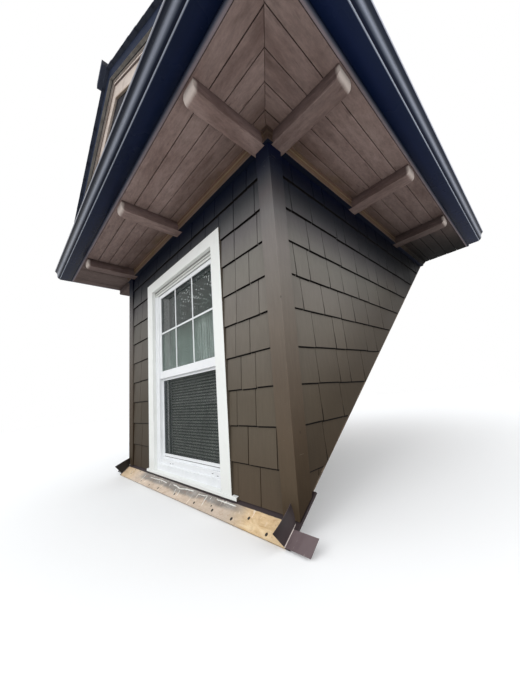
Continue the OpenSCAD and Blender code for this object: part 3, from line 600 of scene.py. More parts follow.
def flashing_paint(name, base, light, fold):
    """Coated sheet: a painted highlight along the fold, faint scratches, and painted shade on the upright
    leaf, darker higher up.
    """
    k = Look(name)
    x, y, z = k.axes()
    nx, ny, nz = k.normal()
    cloud = k.noise(8, detail=4, rough=0.65)
    k.colour = k.levels(cloud, (0.3, *base), (0.7, *light))
    height = k.mul(k.sub(z, k.mul(y, SLOPE)), ROOF_COS)
    # Painted shade: the upright leaf darker, more so higher up
    standing = k.band(k.size(nx), 0.5, 0.7)
    k.coat(k.scale(k.colour, k.band(height, DECK, 0.09, 0.42, 0.20)), standing)
    scratch = k.band(k.noise(2.0, k.stretch(26, 7, 7), 2, 0.5), 0.66, 0.71, 0.0, 0.35)
    k.coat(fold, scratch, k.sub(1.0, standing))
    # Painted highlight: a bright line along the fold
    near = k.size(k.sub(k.size(x), SIDE + 0.0015))
    line = k.mul(k.band(near, 0.0042, 0.0025), k.band(height, DECK + 0.006, DECK + 0.003), 0.9)
    k.coat(fold, line)
    return k.done(k.band(cloud, 0.3, 0.7, 0.38, 0.55), (cloud, 0.12, 0.002))


def roof_shingle_paint(name):
    """Mineral granules in greys and browns, a different blend for each tab, navy at the front edges."""
    k = Look(name)
    nx, ny, nz = k.normal()
    grain = k.cells(420)
    blend = k.add(k.tone(), k.band(k.noise(3.2, detail=4), 0.3, 0.7, -0.08, 0.08))
    k.colour = k.shades(blend, (0.05, 72, 66, 64), (0.3, 104, 97, 92), (0.55, 126, 119, 112),
                        (0.75, 116, 104, 94), (0.95, 150, 143, 134))
    k.dim(k.band(grain, 0.1, 0.7, 1.25, 0.72))
    k.dim(k.band(k.noise(520, detail=2, rough=0.7), 0.3, 0.7, 0.85, 1.15))
    k.coat((36, 38, 46), k.band(nz, 0.55, 0.25))
    k.coat((54, 60, 76), k.most(k.band(ny, -0.6, -0.8), k.band(nz, -0.3, -0.5)))
    return k.done(0.9, (grain, 0.6, 0.0015))


def rake_paint(name):
    """Gable trim painted in bands that follow the roof's slope, set a little lower on the left; the top bands
    are brightened as painted light under the fascia, and the dark brown band is a painted shadow line.
    """
    k = Look(name)
    x, y, z = k.axes()
    under = k.sub(RIDGE_UNDER, k.mul(k.size(x), PITCH_TAN))
    drop = k.mul(k.sub(under, z), PITCH_COS / 0.16)
    drop = k.sub(drop, k.band(x, 0.001, -0.001, 0.0, 0.09))
    # The top bands brightened as painted light under the fascia, the brown band a painted shadow line
    k.colour = k.shades(
        drop, (0.0, 136, 127, 121), (0.33, 146, 136, 129), (0.375, 128, 116, 108), (0.40, 232, 217, 207),
        (0.440, 96, 80, 74), (0.492, 192, 178, 168), (0.96, 160, 142, 124), stepped=True)
    dirt = k.noise(14, detail=5, rough=0.7)
    k.coat((128, 104, 84), k.band(dirt, 0.48, 0.72, 0.0, 0.5))
    return k.done(0.55, (dirt, 0.15, 0.001))


def panel_paint(name):
    """Near-black boards with grooves."""
    k = Look(name)
    groove = k.repeat(k.axes()[0], 0.14)
    k.colour = k.shades(k.noise(6, k.stretch(3, 3, 0.6), 5, 0.65), (0.3, 20, 20, 25), (0.7, 42, 41, 48))
    k.coat((12, 12, 12), k.above(groove, 0.485))
    return k.done(0.6, (groove, 0.3, 0.002), 0.08)


def glass_look(name):
    """Panes with a thin film of dirt, the upper one paler below, streaked at its sides, with bright specks
    above that are painted reflections.
    """
    k = Look(name)
    x, y, z = k.axes()
    film = k.noise(5, k.stretch(1, 1, 1.6), 4, 0.6)
    upper = k.above(z, 0.72)
    k.colour = k.shades(k.band(z, 0.75, 1.37), (0.0, 118, 140, 132), (0.30, 104, 124, 115),
                        (0.50, 84, 102, 93), (0.53, 42, 58, 52), (1.0, 30, 44, 41))
    k.dim(k.band(k.noise(9, k.stretch(1, 1, 0.7), 5, 0.7), 0.36, 0.64, 0.55, 1.35))
    streak = k.noise(1.0, k.stretch(95, 1, 1.2), 3, 0.6)
    left = k.band(x, -0.10, -0.15)
    k.dim(k.sub(1.0, k.mul(left, k.band(z, 1.05, 1.08, 0.0, 0.6))))
    k.coat((150, 166, 162), left, k.band(streak, 0.54, 0.64, 0.0, 0.42))
    k.coat((34, 44, 43), left, k.band(streak, 0.50, 0.38, 0.0, 0.8))
    right = k.mul(k.band(x, 0.14, 0.24), k.band(z, 1.06, 1.0))
    k.coat((214, 226, 221), right, k.band(streak, 0.46, 0.60, 0.0, 0.7))
    # Painted reflection: bright specks near the top
    reflected_specks = k.band(k.cells(27, k.stretch(1.15, 0.01, 1.7)), 0.24, 0.16)
    top = k.mul(k.band(x, -0.12, -0.04), k.band(z, 1.02, 1.16))
    k.coat((236, 244, 242), reflected_specks, top)
    low = k.shades(film, (0.3, 12, 18, 16), (0.7, 30, 40, 37))
    see = k.mix(upper, k.levels(film, (0.3, 0.22), (0.7, 0.30)), (0.46, 0.46, 0.46, 1))
    k.colour = k.mix(upper, low, k.colour)
    return k.done(0.04, alpha=see)


def screen_look(name):
    """Dark mesh of fine wires."""
    k = Look(name)
    x, y, z = k.axes()
    cover = k.most(*[k.above(k.repeat(v, 0.0016), 0.40) for v in (x, z)])
    k.colour = k.mix(k.noise(20), srgb(32, 42, 38), srgb(52, 62, 58))
    return k.done(0.6, metal=0.2, alpha=k.mul(cover, 0.85))


def slat_paint(name):
    """Pale slats with painted shade where each one laps the next."""
    k = Look(name)
    x, y, z = k.axes()
    part = k.math("FRACT", k.math("DIVIDE", k.sub(BLIND_LOW + 0.0082, z), SLAT_STEP))
    # Painted shade: each slat dark at its edges, where it laps the next
    k.colour = k.shades(part, (0.0, 44, 50, 47), (0.18, 90, 97, 92), (0.38, 226, 230, 224),
                        (0.66, 232, 235, 228), (0.84, 110, 117, 112), (1.0, 44, 50, 47))
    dust = k.noise(8, k.stretch(1, 1, 0.3), 5, 0.7)
    k.dim(k.band(dust, 0.3, 0.7, 0.7, 1.15))
    return k.done(0.45, (k.noise(60, detail=2), 0.05, 0.0006))


def sheet_metal(name, a, b, rough=0.35, metal=0.6):
    """Brushed metal between two colours."""
    k = Look(name)
    brushed = k.noise(40, k.stretch(0.2, 3, 3), 3)
    k.colour = k.mix(k.band(brushed, 0.3, 0.7), a, b)
    return k.done(rough, (brushed, 0.1, 0.0005), metal=metal)


TAUPE = (srgb(151, 131, 125), srgb(114, 93, 87), srgb(168, 149, 143))
SIDING = siding_paint("olive_siding")
CORNER = siding_paint("olive_corner_board", trim=True)
SOFFIT_X = wood_paint("taupe_boards_across", "x", *TAUPE)
SOFFIT_Y = wood_paint("taupe_boards_back", "y", *TAUPE)
BEAM_X = wood_paint("taupe_beams_side", "x", *TAUPE, knots=0.3, beams=True)
BEAM_Y = wood_paint("taupe_beams_front", "y", *TAUPE, knots=0.3, beams=True)
MOULDING = moulding_paint("ochre_moulding")
CASING = white_paint("white_casing", srgb(236, 238, 235), srgb(184, 185, 179), casing=True)
VINYL = white_paint("white_vinyl", srgb(236, 238, 240), srgb(176, 180, 182), 0.3, vinyl=True)
NAVY = navy_paint("navy_board")
GUTTER = gutter_paint("navy_gutter")
TRIM_BANDS = rake_paint("gable_bands")
PANEL = panel_paint("gable_dark_boards")
ROOFING = roof_shingle_paint("roof_granules")
PLY = plywood("weathered_plywood")
BROWN = flashing_paint("brown_sheet", srgb(88, 74, 76), srgb(104, 90, 92), srgb(206, 196, 190))
BLACK = flashing_paint("black_sheet", srgb(20, 17, 18), srgb(38, 33, 34), srgb(92, 86, 86))
STRAND = strand_board("strand_board")
RAFTER = timber("sawn_rafters", "x", srgb(198, 160, 112), srgb(160, 118, 74))
RIDGE = timber("sawn_ridge", "y", srgb(196, 158, 110), srgb(158, 116, 72))
BOARDING = timber("roof_boarding", "y", srgb(190, 152, 106), srgb(150, 112, 72), seams=0.17)
SOLE = timber("sole_timber", "y", srgb(104, 88, 70), srgb(66, 53, 42))
GLASS = glass_look("window_glass")
MESH = screen_look("insect_mesh")
SLAT = slat_paint("blind_white")
CORD = white_paint("blind_cord", srgb(190, 190, 184), srgb(140, 140, 136), 0.7)
SPACER = sheet_metal("spacer_bar", srgb(96, 100, 102), srgb(132, 136, 138))
NAIL = sheet_metal("nail_heads", srgb(24, 20, 18), srgb(52, 40, 32), 0.5, 0.4)
STILE_SHADE = sheet_metal("screen_stile_shade", srgb(58, 63, 71), srgb(84, 89, 98), 0.6, 0.1)
SEALANT = white_paint("old_sealant", srgb(226, 226, 220), srgb(170, 168, 160), 0.6)
HANGER = sheet_metal("gutter_hanger", srgb(130, 132, 134), srgb(168, 170, 172))


# Mesh helpers
class Build:
    """Collects closed solids into one mesh, each with its own tone and one of the mesh's materials."""

    def __init__(self):
        self.verts, self.faces, self.tones, self.paints = [], [], [], []

    def loft(self, loops, tone=0.5, paint=0):
        """Joins outlines of equal length one after the other, closed at both ends."""
        n = len(loops[0])
        at = len(self.verts)
        last = at + (len(loops) - 1) * n
        self.verts += [tuple(p) for loop in loops for p in loop]
        new = [(a + i, a + (i + 1) % n, a + n + (i + 1) % n, a + n + i)
               for a in range(at, last, n) for i in range(n)]
        new += [tuple(range(at + n - 1, at - 1, -1)), tuple(range(last, last + n))]
        self.faces += new
        self.tones += [tone] * len(new)
        self.paints += [paint] * len(new)

    def slab(self, outline, place, near, far, tone=0.5, paint=0):
        """A flat outline made solid between two depths, the far one a number or a function of the point."""
        deep = far if callable(far) else lambda u, v: far
        faces = [[place(u, v, near) for u, v in outline], [place(u, v, deep(u, v)) for u, v in outline]]
        self.loft(faces, tone, paint)

    def box(self, low, high, tone=0.5, paint=0):
        (a, b, c), (d, e, f) = low, high
        self.slab([(a, b), (d, b), (d, e), (a, e)], level, c, f, tone, paint)

    def make(self, name, materials, stands_for, bevel=0.0, segments=2, smooth=None):
        mesh = bpy.data.meshes.new(name)
        mesh.from_pydata(self.verts, [], self.faces)
        mesh.attributes.new("tone", "FLOAT", "FACE").data.foreach_set("value", self.tones)
        for m in materials:
            mesh.materials.append(m)
        mesh.polygons.foreach_set("material_index", self.paints)
        finish_piece(name, mesh, stands_for, bevel, segments, smooth)


def finish_piece(name, mesh, stands_for, bevel, segments, smooth=None):
    """Mends normals, rounds the edges, and makes the piece ride on the body."""
    bm = bmesh.new()
    bm.from_mesh(mesh)
    bmesh.ops.recalc_face_normals(bm, faces=bm.faces)
    bm.to_mesh(mesh)
    bm.free()
    o = bpy.data.objects.new(name, mesh)
    scene.collection.objects.link(o)
    if bevel:
        mod = o.modifiers.new("edges", "BEVEL")
        mod.width = bevel
        mod.segments = segments
        mod.limit_method = "ANGLE"
        mod.angle_limit = math.radians(28)
        bpy.context.view_layer.update()
        done = bpy.data.meshes.new_from_object(o.evaluated_get(bpy.context.evaluated_depsgraph_get()))
        o.modifiers.clear()
        o.data = done
        bpy.data.meshes.remove(mesh)
        done.name = name
    if smooth is not None:
        o.data.shade_smooth()
        o.data.set_sharp_from_angle(angle=math.radians(smooth))
    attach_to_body(o, "root")
    if stands_for:
        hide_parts(*stands_for)


def dressed(node, name, material, bevel, segments=2):
    """A copy of a CAD node with welded faces and rounded edges, which stands for it."""
    bm = bmesh.new()
    bm.from_mesh(nodes[node].data)
    bmesh.ops.remove_doubles(bm, verts=bm.verts, dist=1e-5)
    bmesh.ops.dissolve_limit(bm, angle_limit=math.radians(0.5), verts=bm.verts, edges=bm.edges)
    layer = bm.faces.layers.float.new("tone")
    for f in bm.faces:
        f[layer] = 0.5
        f.smooth = False
        f.material_index = 0
    mesh = bpy.data.meshes.new(name)
    bm.to_mesh(mesh)
    bm.free()
    mesh.materials.append(material)
    finish_piece(name, mesh, (node,), bevel, segments)


def repaint(node, material):
    """Gives a CAD node that keeps its shape its finished look."""
    data = nodes[node].data
    data.materials.clear()
    data.materials.append(material)


# Flat outlines, with the least area in square metres that counts as a piece
CRUMB = 2e-5


def clip(poly, a, b, c):
    """The part of a flat outline where a * u + b * v is at most c."""
    out = []
    for p, q in zip(poly, poly[1:] + poly[:1]):
        dp = a * p[0] + b * p[1] - c
        dq = a * q[0] + b * q[1] - c
        if dp <= 0:
            out.append(p)
        if dp * dq < 0:
            out.append(between(p, q, dp / (dp - dq)))
    return out


def area(poly):
    return abs(sum(p[0] * q[1] - q[0] * p[1] for p, q in zip(poly, poly[1:] + poly[:1]))) / 2


def cut_out(polys, hole):
    """Outlines without what lies in a rectangle."""
    u0, v0, u1, v1 = hole
    out = []
    for p in polys:
        middle = clip(clip(p, -1, 0, -u0), 1, 0, u1)
        if area(middle) < 1e-7 or area(clip(clip(middle, 0, -1, -v0), 0, 1, v1)) < 1e-7:
            out.append(p)
            continue
        out += [clip(p, 1, 0, u0), clip(p, -1, 0, -u1), clip(middle, 0, 1, v0), clip(middle, 0, -1, -v1)]
    return [q for q in out if len(q) > 2 and area(q) > CRUMB]


def trimmed(outline, clips, holes=(), least=CRUMB):
    """The pieces of an outline that cuts along lines and round rectangles leave, without crumbs."""
    pieces = [outline]
    for c in clips:
        pieces = [clip(p, *c) for p in pieces]
    for h in holes:
        pieces = cut_out(pieces, h)
    return [p for p in pieces if len(p) > 2 and area(p) > least]


# Places for the points of a flat outline: lying, standing across X, and on the walls
def level(u, v, h):
    return (u, v, h)


def upright(x, z, y):
    return (x, y, z)


def front_face(u, z, depth):
    y = SHEATHING - depth
    return (u, y, max(z, roof_z(y, DECK + 0.007)))


def right_face(u, z, depth):
    return (SIDE + depth, u, z)


def left_face(u, z, depth):
    return (-SIDE - depth, u, z)


# Siding: depths out from the wall, and how far a shingle runs up under the next course
BUTT, TAPER = 0.019, 0.010
SHADOW = 0.0097
LAYER, LAYER_TAPER = 0.0085, 0.005
LAP = 0.010
WALL_END = WALL_TOP - 0.0005


def lap_wall(name, node, rows, ends, joints, clips, holes, place, seed):
    """One tapered shingle between each pair of joints, a shadow line under each, and a thin lower layer.

    Each row has the height of its lower edge and how much it tilts.
    """
    build = Build()
    rng = random.Random(seed)
    for i, (z0, tilt) in enumerate(rows):
        last = i + 1 == len(rows)
        z1, tilt1 = (WALL_END, 0.0) if last else rows[i + 1]
        shown = max(z1 - z0, 0.12)
        line_h = 0.0036 + 0.0040 * min(max((0.95 - z0) / 0.6, 0.0), 1.0)

        def up(u, z, most):
            return min(max((z - z0 - tilt * u) / shown, 0.0), most)

        cuts = [ends[0], *joints[i], ends[1]]
        for a, b in zip(cuts, cuts[1:]):
            shift = rng.uniform(-0.0022, 0.0018)
            proud = rng.uniform(-0.0014, 0.0)
            tone = 0.08 + 0.92 * rng.random()
            half = rng.uniform(0.0017, 0.0026)
            u0 = a + (half if a != ends[0] else 0.0)
            u1 = b - (half if b != ends[1] else 0.0)
            lean = rng.uniform(-0.0007, 0.0007)
            lap = 0.0 if last else LAP
            low0, low1 = z0 + tilt * u0 + shift, z0 + tilt * u1 + shift + lean
            shingle = [(u0, low0), (u1, low1), (u1, z1 + tilt1 * u1 + lap), (u0, z1 + tilt1 * u0 + lap)]
            for p in trimmed(shingle, clips, holes):
                build.slab(p, place, 0.0006, lambda u, z: BUTT - TAPER * up(u, z, 1.08) + proud, tone)
            if i:
                shadow = [(u0, low0 - line_h), (u1, low1 - line_h), (u1, low1 + 0.001), (u0, low0 + 0.001)]
                for p in trimmed(shadow, clips, holes):
                    build.slab(p, place, 0.0006, SHADOW, -1.0)
        strip = [(u, z0 + tilt * u + 0.004) for u in ends] + [(u, z1 + tilt1 * u) for u in ends[::-1]]
        for p in trimmed(strip, clips, holes):
            build.slab(p, place, 0.0003, lambda u, z: LAYER - LAYER_TAPER * up(u, z, 1.0), 0.02)
    build.make(name, [SIDING], (node,), bevel=0.0011, segments=1)


FRONT_ROWS = [(z, 0) for z in (-0.040, 0.1573, 0.3436, 0.5294, 0.710, 0.8908, 1.0715, 1.254, 1.433, 1.610)]
FRONT_JOINTS = [
    (-0.785, -0.30, 0.02, 0.36, 0.818),
    (-0.758, -0.40, 0.10, 0.742, 0.9535),
    (-0.780, -0.22, 0.22, 0.662, 0.823),
    (-0.806, -0.35, 0.15, 0.717, 0.840),
    (-0.778, 0.0, 0.684, 0.810),
    (-0.750, 0.1, 0.708, 0.903),
    (-0.785, 0.0, 0.717, 0.840),
    (-0.868, -0.736, 0.0, 0.722, 0.927),
    (-0.760, -0.452, -0.205, 0.002, 0.213, 0.410, 0.572, 0.731, 0.922),
    (-0.830, -0.640, -0.385, -0.118, 0.040, 0.240, 0.405, 0.540, 0.742, 0.868)]
FRONT_HOLES = [(WINDOW_X - half - FIT, -1, WINDOW_X + half + FIT, top)
               for half, top in ((0.5795, 1.518 + FIT), (0.6255, -0.0105))]
lap_wall("front_shingles", "front_siding", FRONT_ROWS, (-0.9705, 0.9705), FRONT_JOINTS,
         [(0, -1, 0.029), (0, 1, WALL_END)], FRONT_HOLES, front_face, 11)

SIDE_ROWS = [(-0.043, 0), (0.138, 0), (0.341, 0), (0.528, -0.012), (0.703, 0.019), (0.8945, 0.003),
             (1.0695, -0.003), (1.2485, -0.003), (1.4315, -0.003), (1.6115, -0.002)]
SIDE_JOINTS = [
    (0.09,),
    (0.157,),
    (0.157, 0.343),
    (0.158, 0.347, 0.455, 0.62),
    (0.155, 0.340, 0.447, 0.700, 0.84),
    (0.090, 0.264, 0.430, 0.588, 0.763, 0.995),
    (0.058, 0.168, 0.350, 0.492, 0.676, 0.812, 0.980, 1.218),
    (0.187, 0.328, 0.499, 0.690, 0.862, 1.004, 1.172, 1.345),
    (0.070, 0.238, 0.486, 0.586, 0.772, 0.908, 1.083, 1.228, 1.400, 1.60, 1.755),
    (0.097, 0.279, 0.384, 0.629, 0.798, 0.938, 1.098, 1.290, 1.430, 1.62, 1.81, 1.97, 2.11)]
LEFT_JOINTS = [tuple(u * 0.97 + 0.031 * ((i * 7) % 3) for u in row) for i, row in enumerate(SIDE_JOINTS)]
SIDE_CLIP = [(SLOPE, -1, -(DECK + 0.008) / ROOF_COS), (0, 1, WALL_END)]
SIDE_ENDS = (0.0143, 2.20)
lap_wall("right_shingles_wall", "right_siding", SIDE_ROWS, SIDE_ENDS, SIDE_JOINTS,
         SIDE_CLIP, (), right_face, 23)
lap_wall("left_shingles_wall", "left_siding", [(z, 0) for z, tilt in SIDE_ROWS], SIDE_ENDS, LEFT_JOINTS,
         SIDE_CLIP, (), left_face, 37)
for side in ("left", "right"):
    dressed(side + "_corner_board", side + "_corner_trim", CORNER, 0.0022)


# Soffit boards
def soffit_boards(name, node, material, along, edges, ends, clips, holes, seed):
    """Boards between edges, all of them cut to the same ends."""
    build = Build()
    rng = random.Random(seed)
    for a, b in zip(edges, edges[1:]):
        gap = 0.0013 + 0.0011 * rng.random()
        a, b = min(a, b) + gap, max(a, b) - gap
        board = [(ends[0], a), (ends[1], a), (ends[1], b), (ends[0], b)]
        if along == "y":
            board = [(v, u) for u, v in board]
        low = SOFFIT + rng.uniform(0.0, 0.0012)
        tone = rng.random()
        for p in trimmed(board, clips, holes, 1e-5):
            build.slab(p, level, SOFFIT + 0.015, low, tone)
    build.make(name, [material], (node,), bevel=0.0018)


mitre = (MITRE_TO - MITRE_FROM).normalized()
cut = (-mitre.y, mitre.x, Vector((-mitre.y, mitre.x)).dot(MITRE_FROM))
JOINT = 0.0007
ROOF_STOP = (0, 1, (SOFFIT - DECK / ROOF_COS) / SLOPE - 0.001)
WALL_FRONT, WALL_SIDE = SHEATHING - FIT, SIDE + FIT
soffit_boards("front_soffit_boards", "front_soffit", SOFFIT_X, "x",
              (FASCIA_BACK, -0.378, -0.300, -0.224, -0.144, WALL_FRONT), (-0.9218, 1.60),
              [(cut[0], cut[1], cut[2] - JOINT)], (), 5)
soffit_boards("right_soffit_boards", "right_soffit", SOFFIT_Y, "y",
              (BACK_X, 1.409, 1.316, 1.226, 1.138, 0.98), (FASCIA_BACK, 2.4),
              [(-cut[0], -cut[1], -cut[2] - JOINT), ROOF_STOP], [(-9, WALL_FRONT, WALL_SIDE, 9)], 6)
soffit_boards("left_soffit_boards", "left_soffit", SOFFIT_Y, "y",
              (-BACK_X, -1.409, -1.316, -1.226, -1.138, -1.050, -0.9224), (FASCIA_BACK, 2.4),
              [ROOF_STOP], [(-WALL_SIDE, WALL_FRONT, 9, 9)], 7)


# Lookout beams, hewn a little uneven, their outer lower corner worn round
def beam(build, start, out, side, length, rng, paint):
    """start is the middle of the beam's top at the wall, out and side are unit vectors."""
    r = 0.034
    profile = [(0.0, 0.0), (0.0, -LOOKOUT_H)]
    profile += [(s * (length - r), -LOOKOUT_H + rng.uniform(-0.0006, 0.0018)) for s in (0.25, 0.5, 0.75)]
    for a in (math.radians(9 * i) for i in range(11)):
        profile.append((length - r + r * math.sin(a), -LOOKOUT_H + r - r * math.cos(a)))
    profile.append((length, 0.0))
    loops = [[start + out * l + side * (w + rng.uniform(-0.0007, 0.0007)) + Vector((0, 0, h))
              for l, h in profile] for w in (-LOOKOUT_W / 2, LOOKOUT_W / 2)]
    build.loft(loops, rng.random(), paint)


build = Build()
rng = random.Random(3)
for x in LOOKOUT_X:
    start = Vector((x, WALL_FRONT, SOFFIT - FIT))
    beam(build, start, Vector((0, -1, 0)), Vector((1, 0, 0)), 0.4032, rng, 0)
for y in LOOKOUT_Y:
    for side in (-1, 1):
        start = Vector((side * WALL_SIDE, y, SOFFIT - FIT))
        beam(build, start, Vector((side, 0, 0)), Vector((0, 1, 0)), 0.4447, rng, 1)
build.make("lookout_beams", [BEAM_Y, BEAM_X], ("lookouts",), bevel=0.0035)

for side in ("front", "left", "right"):
    dressed(side + "_bed_moulding", side + "_eave_moulding", MOULDING, 0.0008, 1)
    dressed(side + "_fascia", side + "_fascia_board", NAVY, 0.002)


# Gutters: a bent sheet with an S-shaped face and a hemmed lip, its sections as distance out and height
GUTTER_H = 0.089
SHEET = 0.0017
END_CAP = 0.0018
outer = [(0.0, GUTTER_H), (0.0, 0.0022), (0.0007, 0.0007), (0.0022, 0.0),
         (0.0830, 0.0), (0.0844, 0.0005), (0.085, 0.0018), (0.085, 0.0052), (0.0856, 0.0068)]
outer += [(0.0865 + 0.0170 * math.sin(a), 0.0325 - 0.0250 * math.cos(a))
          for a in (math.radians(7.5 * i) for i in range(1, 13))]
outer += [(0.1044, 0.041), (0.1054, 0.049), (0.1072, 0.055), (0.1100, 0.061), (0.1138, 0.0662),
          (0.1176, 0.0700), (0.1206, 0.0726), (0.1218, 0.0755), (0.122, 0.0785), (0.122, 0.0868),
          (0.1213, 0.0884), (0.120, GUTTER_H)]
inner = []
for a, (o, h), b in zip(outer[:1] + outer, outer, outer[1:] + outer[-1:]):
    d = Vector((b[0] - a[0], b[1] - a[1])).normalized()
    inner.append((o - d.y * SHEET, h + d.x * SHEET))
inner[0] = (SHEET, GUTTER_H)
inner[-1] = (0.1185, 0.0885)
section = outer + inner[::-1]


def front_gutter(o, h, x):
    return (x, FASCIA_FRONT - o, SOFFIT + h)


def right_gutter(o, h, y):
    return (FRONT_X + o * RIGHT_STRETCH, y, SOFFIT + h)


def gutter(name, node, place, corner, lean, end, first, step, near, far):
    """A run from the mitre at the corner to its capped end, with hangers from near to far out."""
    build = Build()
    loops = [[place(o, h, corner + lean * o) for o, h in section]]
    loops += [[place(o, h, corner + (end - corner) * i / 6) for o, h in section] for i in range(1, 7)]
    build.loft(loops)
    build.slab(outer, place, end, end + math.copysign(END_CAP, corner - end))
    for at in (first + step * i for i in range(5)):
        build.box(place(near, 0.080, at - 0.011), place(far, 0.0815, at + 0.011), paint=1)
    build.make(name, [GUTTER, HANGER], (node,), smooth=32)


gutter("front_gutter_run", "front_gutter", front_gutter, FRONT_X, RIGHT_STRETCH, -FRONT_X,
       0.28 - FRONT_X, 0.60, END_CAP, 0.117)
gutter("right_gutter_run", "right_gutter", right_gutter, FASCIA_FRONT, -1.0, SOFFIT_END - 0.060,
       0.25 + FASCIA_FRONT, 0.56, END_CAP / RIGHT_STRETCH, 0.137 / RIGHT_STRETCH)

# Gable trim
for side in ("left", "right"):
    dressed(side + "_rake_trim", side + "_gable_moulding", TRIM_BANDS, 0.0012, 1)
    dressed(side + "_rake_fascia", side + "_gable_fascia", NAVY, 0.002)
repaint("gable_panel", PANEL)

# Roof shingles: separate tabs in lapped courses on each slope, s the distance down it from the ridge
RUN = (FRONT_X + 0.024) / PITCH_COS
COURSE = 0.137
ROOF_BACK = 4.2
THICK, THIN, TAIL = 0.0086, 0.0058, 0.0030
STOP = (PITCH_SIN, SLOPE, BOARDING_TOP - DECK / ROOF_COS - 0.002)
for side, word in ((-1, "left"), (1, "right")):
    def slope_point(s, y, h):
        return (side * (s * PITCH_COS + h * PITCH_SIN), y, BOARDING_TOP - s * PITCH_SIN + h * PITCH_COS)

    build = Build()
    rng = random.Random(50 + side)
    for i in range(math.ceil(RUN / COURSE)):
        s1 = RUN - i * COURSE
        s0 = max(s1 - COURSE - 0.03, 0.004)
        edge = SHINGLE_FRONT + 0.001
        for p in trimmed([(s1 - 0.002, edge), (s1 - 0.002, ROOF_BACK), (s0, ROOF_BACK), (s0, edge)], [STOP]):
            build.slab(p, slope_point, 0.0002, 0.0032, 0.12)
        y = SHINGLE_FRONT - rng.uniform(0.0, 0.12)
        while y < ROOF_BACK:
            w = rng.uniform(0.085, 0.21)
            tone = rng.random()
            a, b = max(y, SHINGLE_FRONT), y + w
            thick = THICK if rng.random() < 0.62 else THIN
            if b > a + 0.01:
                nose = s1 - rng.uniform(0.0, 0.002)
                tab = [(s0, a + 0.0006), (nose, a + 0.0006), (nose, b - 0.0006), (s0, b - 0.0006)]
                for p in trimmed(tab, [STOP], least=1e-4):
                    build.slab(p, slope_point, 0.0004, lambda s, v: TAIL + (thick - TAIL) * min(
                        max((s - s0) / (nose - s0), 0), 1), tone)
            y = b
    build.make(word + "_roof_tabs", [ROOFING], (word + "_shingles",),
               bevel=0.0008, segments=1)

# Ridge cap: lapped pieces with rounded corners, its left half the one that stands out in front
build = Build()
rng = random.Random(8)
CAP_HALF, CAP_ROUND, CAP_LAP = 0.134, 0.010, 0.006
cap_low = BOARDING_TOP + 0.0095 / PITCH_COS
for side, front in ((-1, CAP_FRONT), (1, SHINGLE_FRONT + 0.022)):
    ends = [front] + [SHINGLE_FRONT + 0.115 + COURSE * i for i in range(40)]
    for near, far in zip(ends, ends[1:]):
        if near > RIDGE_END - 0.02:
            break
        loops = []
        for y, lift in ((near, 0.0445), (min(far + CAP_LAP, RIDGE_END - 0.003), 0.0405)):
            room = BOARDING_TOP + 0.009 / PITCH_COS - roof_z(y, DECK + 0.003)
            w = min(CAP_HALF, max(room / PITCH_TAN, 0.004))
            top = BOARDING_TOP + lift / PITCH_COS
            r = min(CAP_ROUND, 0.25 * w)
            shape = [(e * r, top - d * r) for e, d in ((0, 1.0), (0.12, 0.62), (0.45, 0.45), (1.0, 0.66))]
            shape += [(w - e * r, top - (w - e * r) * PITCH_TAN - d * r)
                      for e, d in ((1.0, 0.04), (0.45, 0.16), (0.12, 0.42), (0.0, 0.8))]
            shape += [(w, cap_low - w * PITCH_TAN), (0, cap_low)]
            loops.append([(side * u, y, v) for u, v in shape])
        build.loft(loops, rng.uniform(0.1, 0.5))
build.make("ridge_cap_tabs", [ROOFING], ("ridge_cap",), bevel=0.0008, segments=1, smooth=25)

for node, material in (("left_roof_boarding", BOARDING), ("right_roof_boarding", BOARDING),
                       ("rafters", RAFTER), ("ridge_board", RIDGE), ("side_soles", SOLE),
                       ("front_wall", STRAND), ("left_cheek", STRAND), ("right_cheek", STRAND),
                       ("window_glass", GLASS)):
    repaint(node, material)

# Window: casing, sill, frame and sashes with eased edges
dressed("window_casing", "white_casing_boards", CASING, 0.0016)
dressed("window_sill", "white_sill", CASING, 0.002)
dressed("window_frame", "white_frame", VINYL, 0.0012)
dressed("upper_sash", "upper_sash_frame", VINYL, 0.0012)
dressed("lower_sash", "lower_sash_frame", VINYL, 0.0012)

# Bars on the upper sash's glass, then the dark spacers inside both panes
PANE_HALF, PANE_LOW, PANE_TOP, BAR_Z = 0.4035, 0.751, 1.367, 1.063
GLASS_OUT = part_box("window_glass")[0][1]
build = Build()
for x in (WINDOW_X - 0.135, WINDOW_X + 0.135):
    build.box((x - 0.0058, GLASS_OUT - 0.0042, PANE_LOW + 0.001),
              (x + 0.0058, GLASS_OUT + 0.0005, PANE_TOP - 0.001))
build.box((WINDOW_X - PANE_HALF + 0.001, GLASS_OUT - 0.0048, BAR_Z - 0.0062),
          (WINDOW_X + PANE_HALF - 0.001, GLASS_OUT + 0.0005, BAR_Z + 0.0062))
build.make("window_bars", [VINYL], (), bevel=0.0016)
build = Build()
wide = 0.008
for half, z0, z1, y in ((PANE_HALF + 0.004, PANE_LOW - 0.004, PANE_TOP + 0.004, -0.0235),
                        (0.3825, 0.097, 0.696, 0.0105)):
    x0, x1 = WINDOW_X - half, WINDOW_X + half
    for a, b, c, d in ((x0, z0, x0 + wide, z1), (x1 - wide, z0, x1, z1), (x0, z0, x1, z0 + wide),
                       (x0, z1 - wide, x1, z1)):
        build.box((a, y, b), (c, y + 0.010, d))
build.make("glass_spacers", [SPACER], (), bevel=0.0005, segments=1)

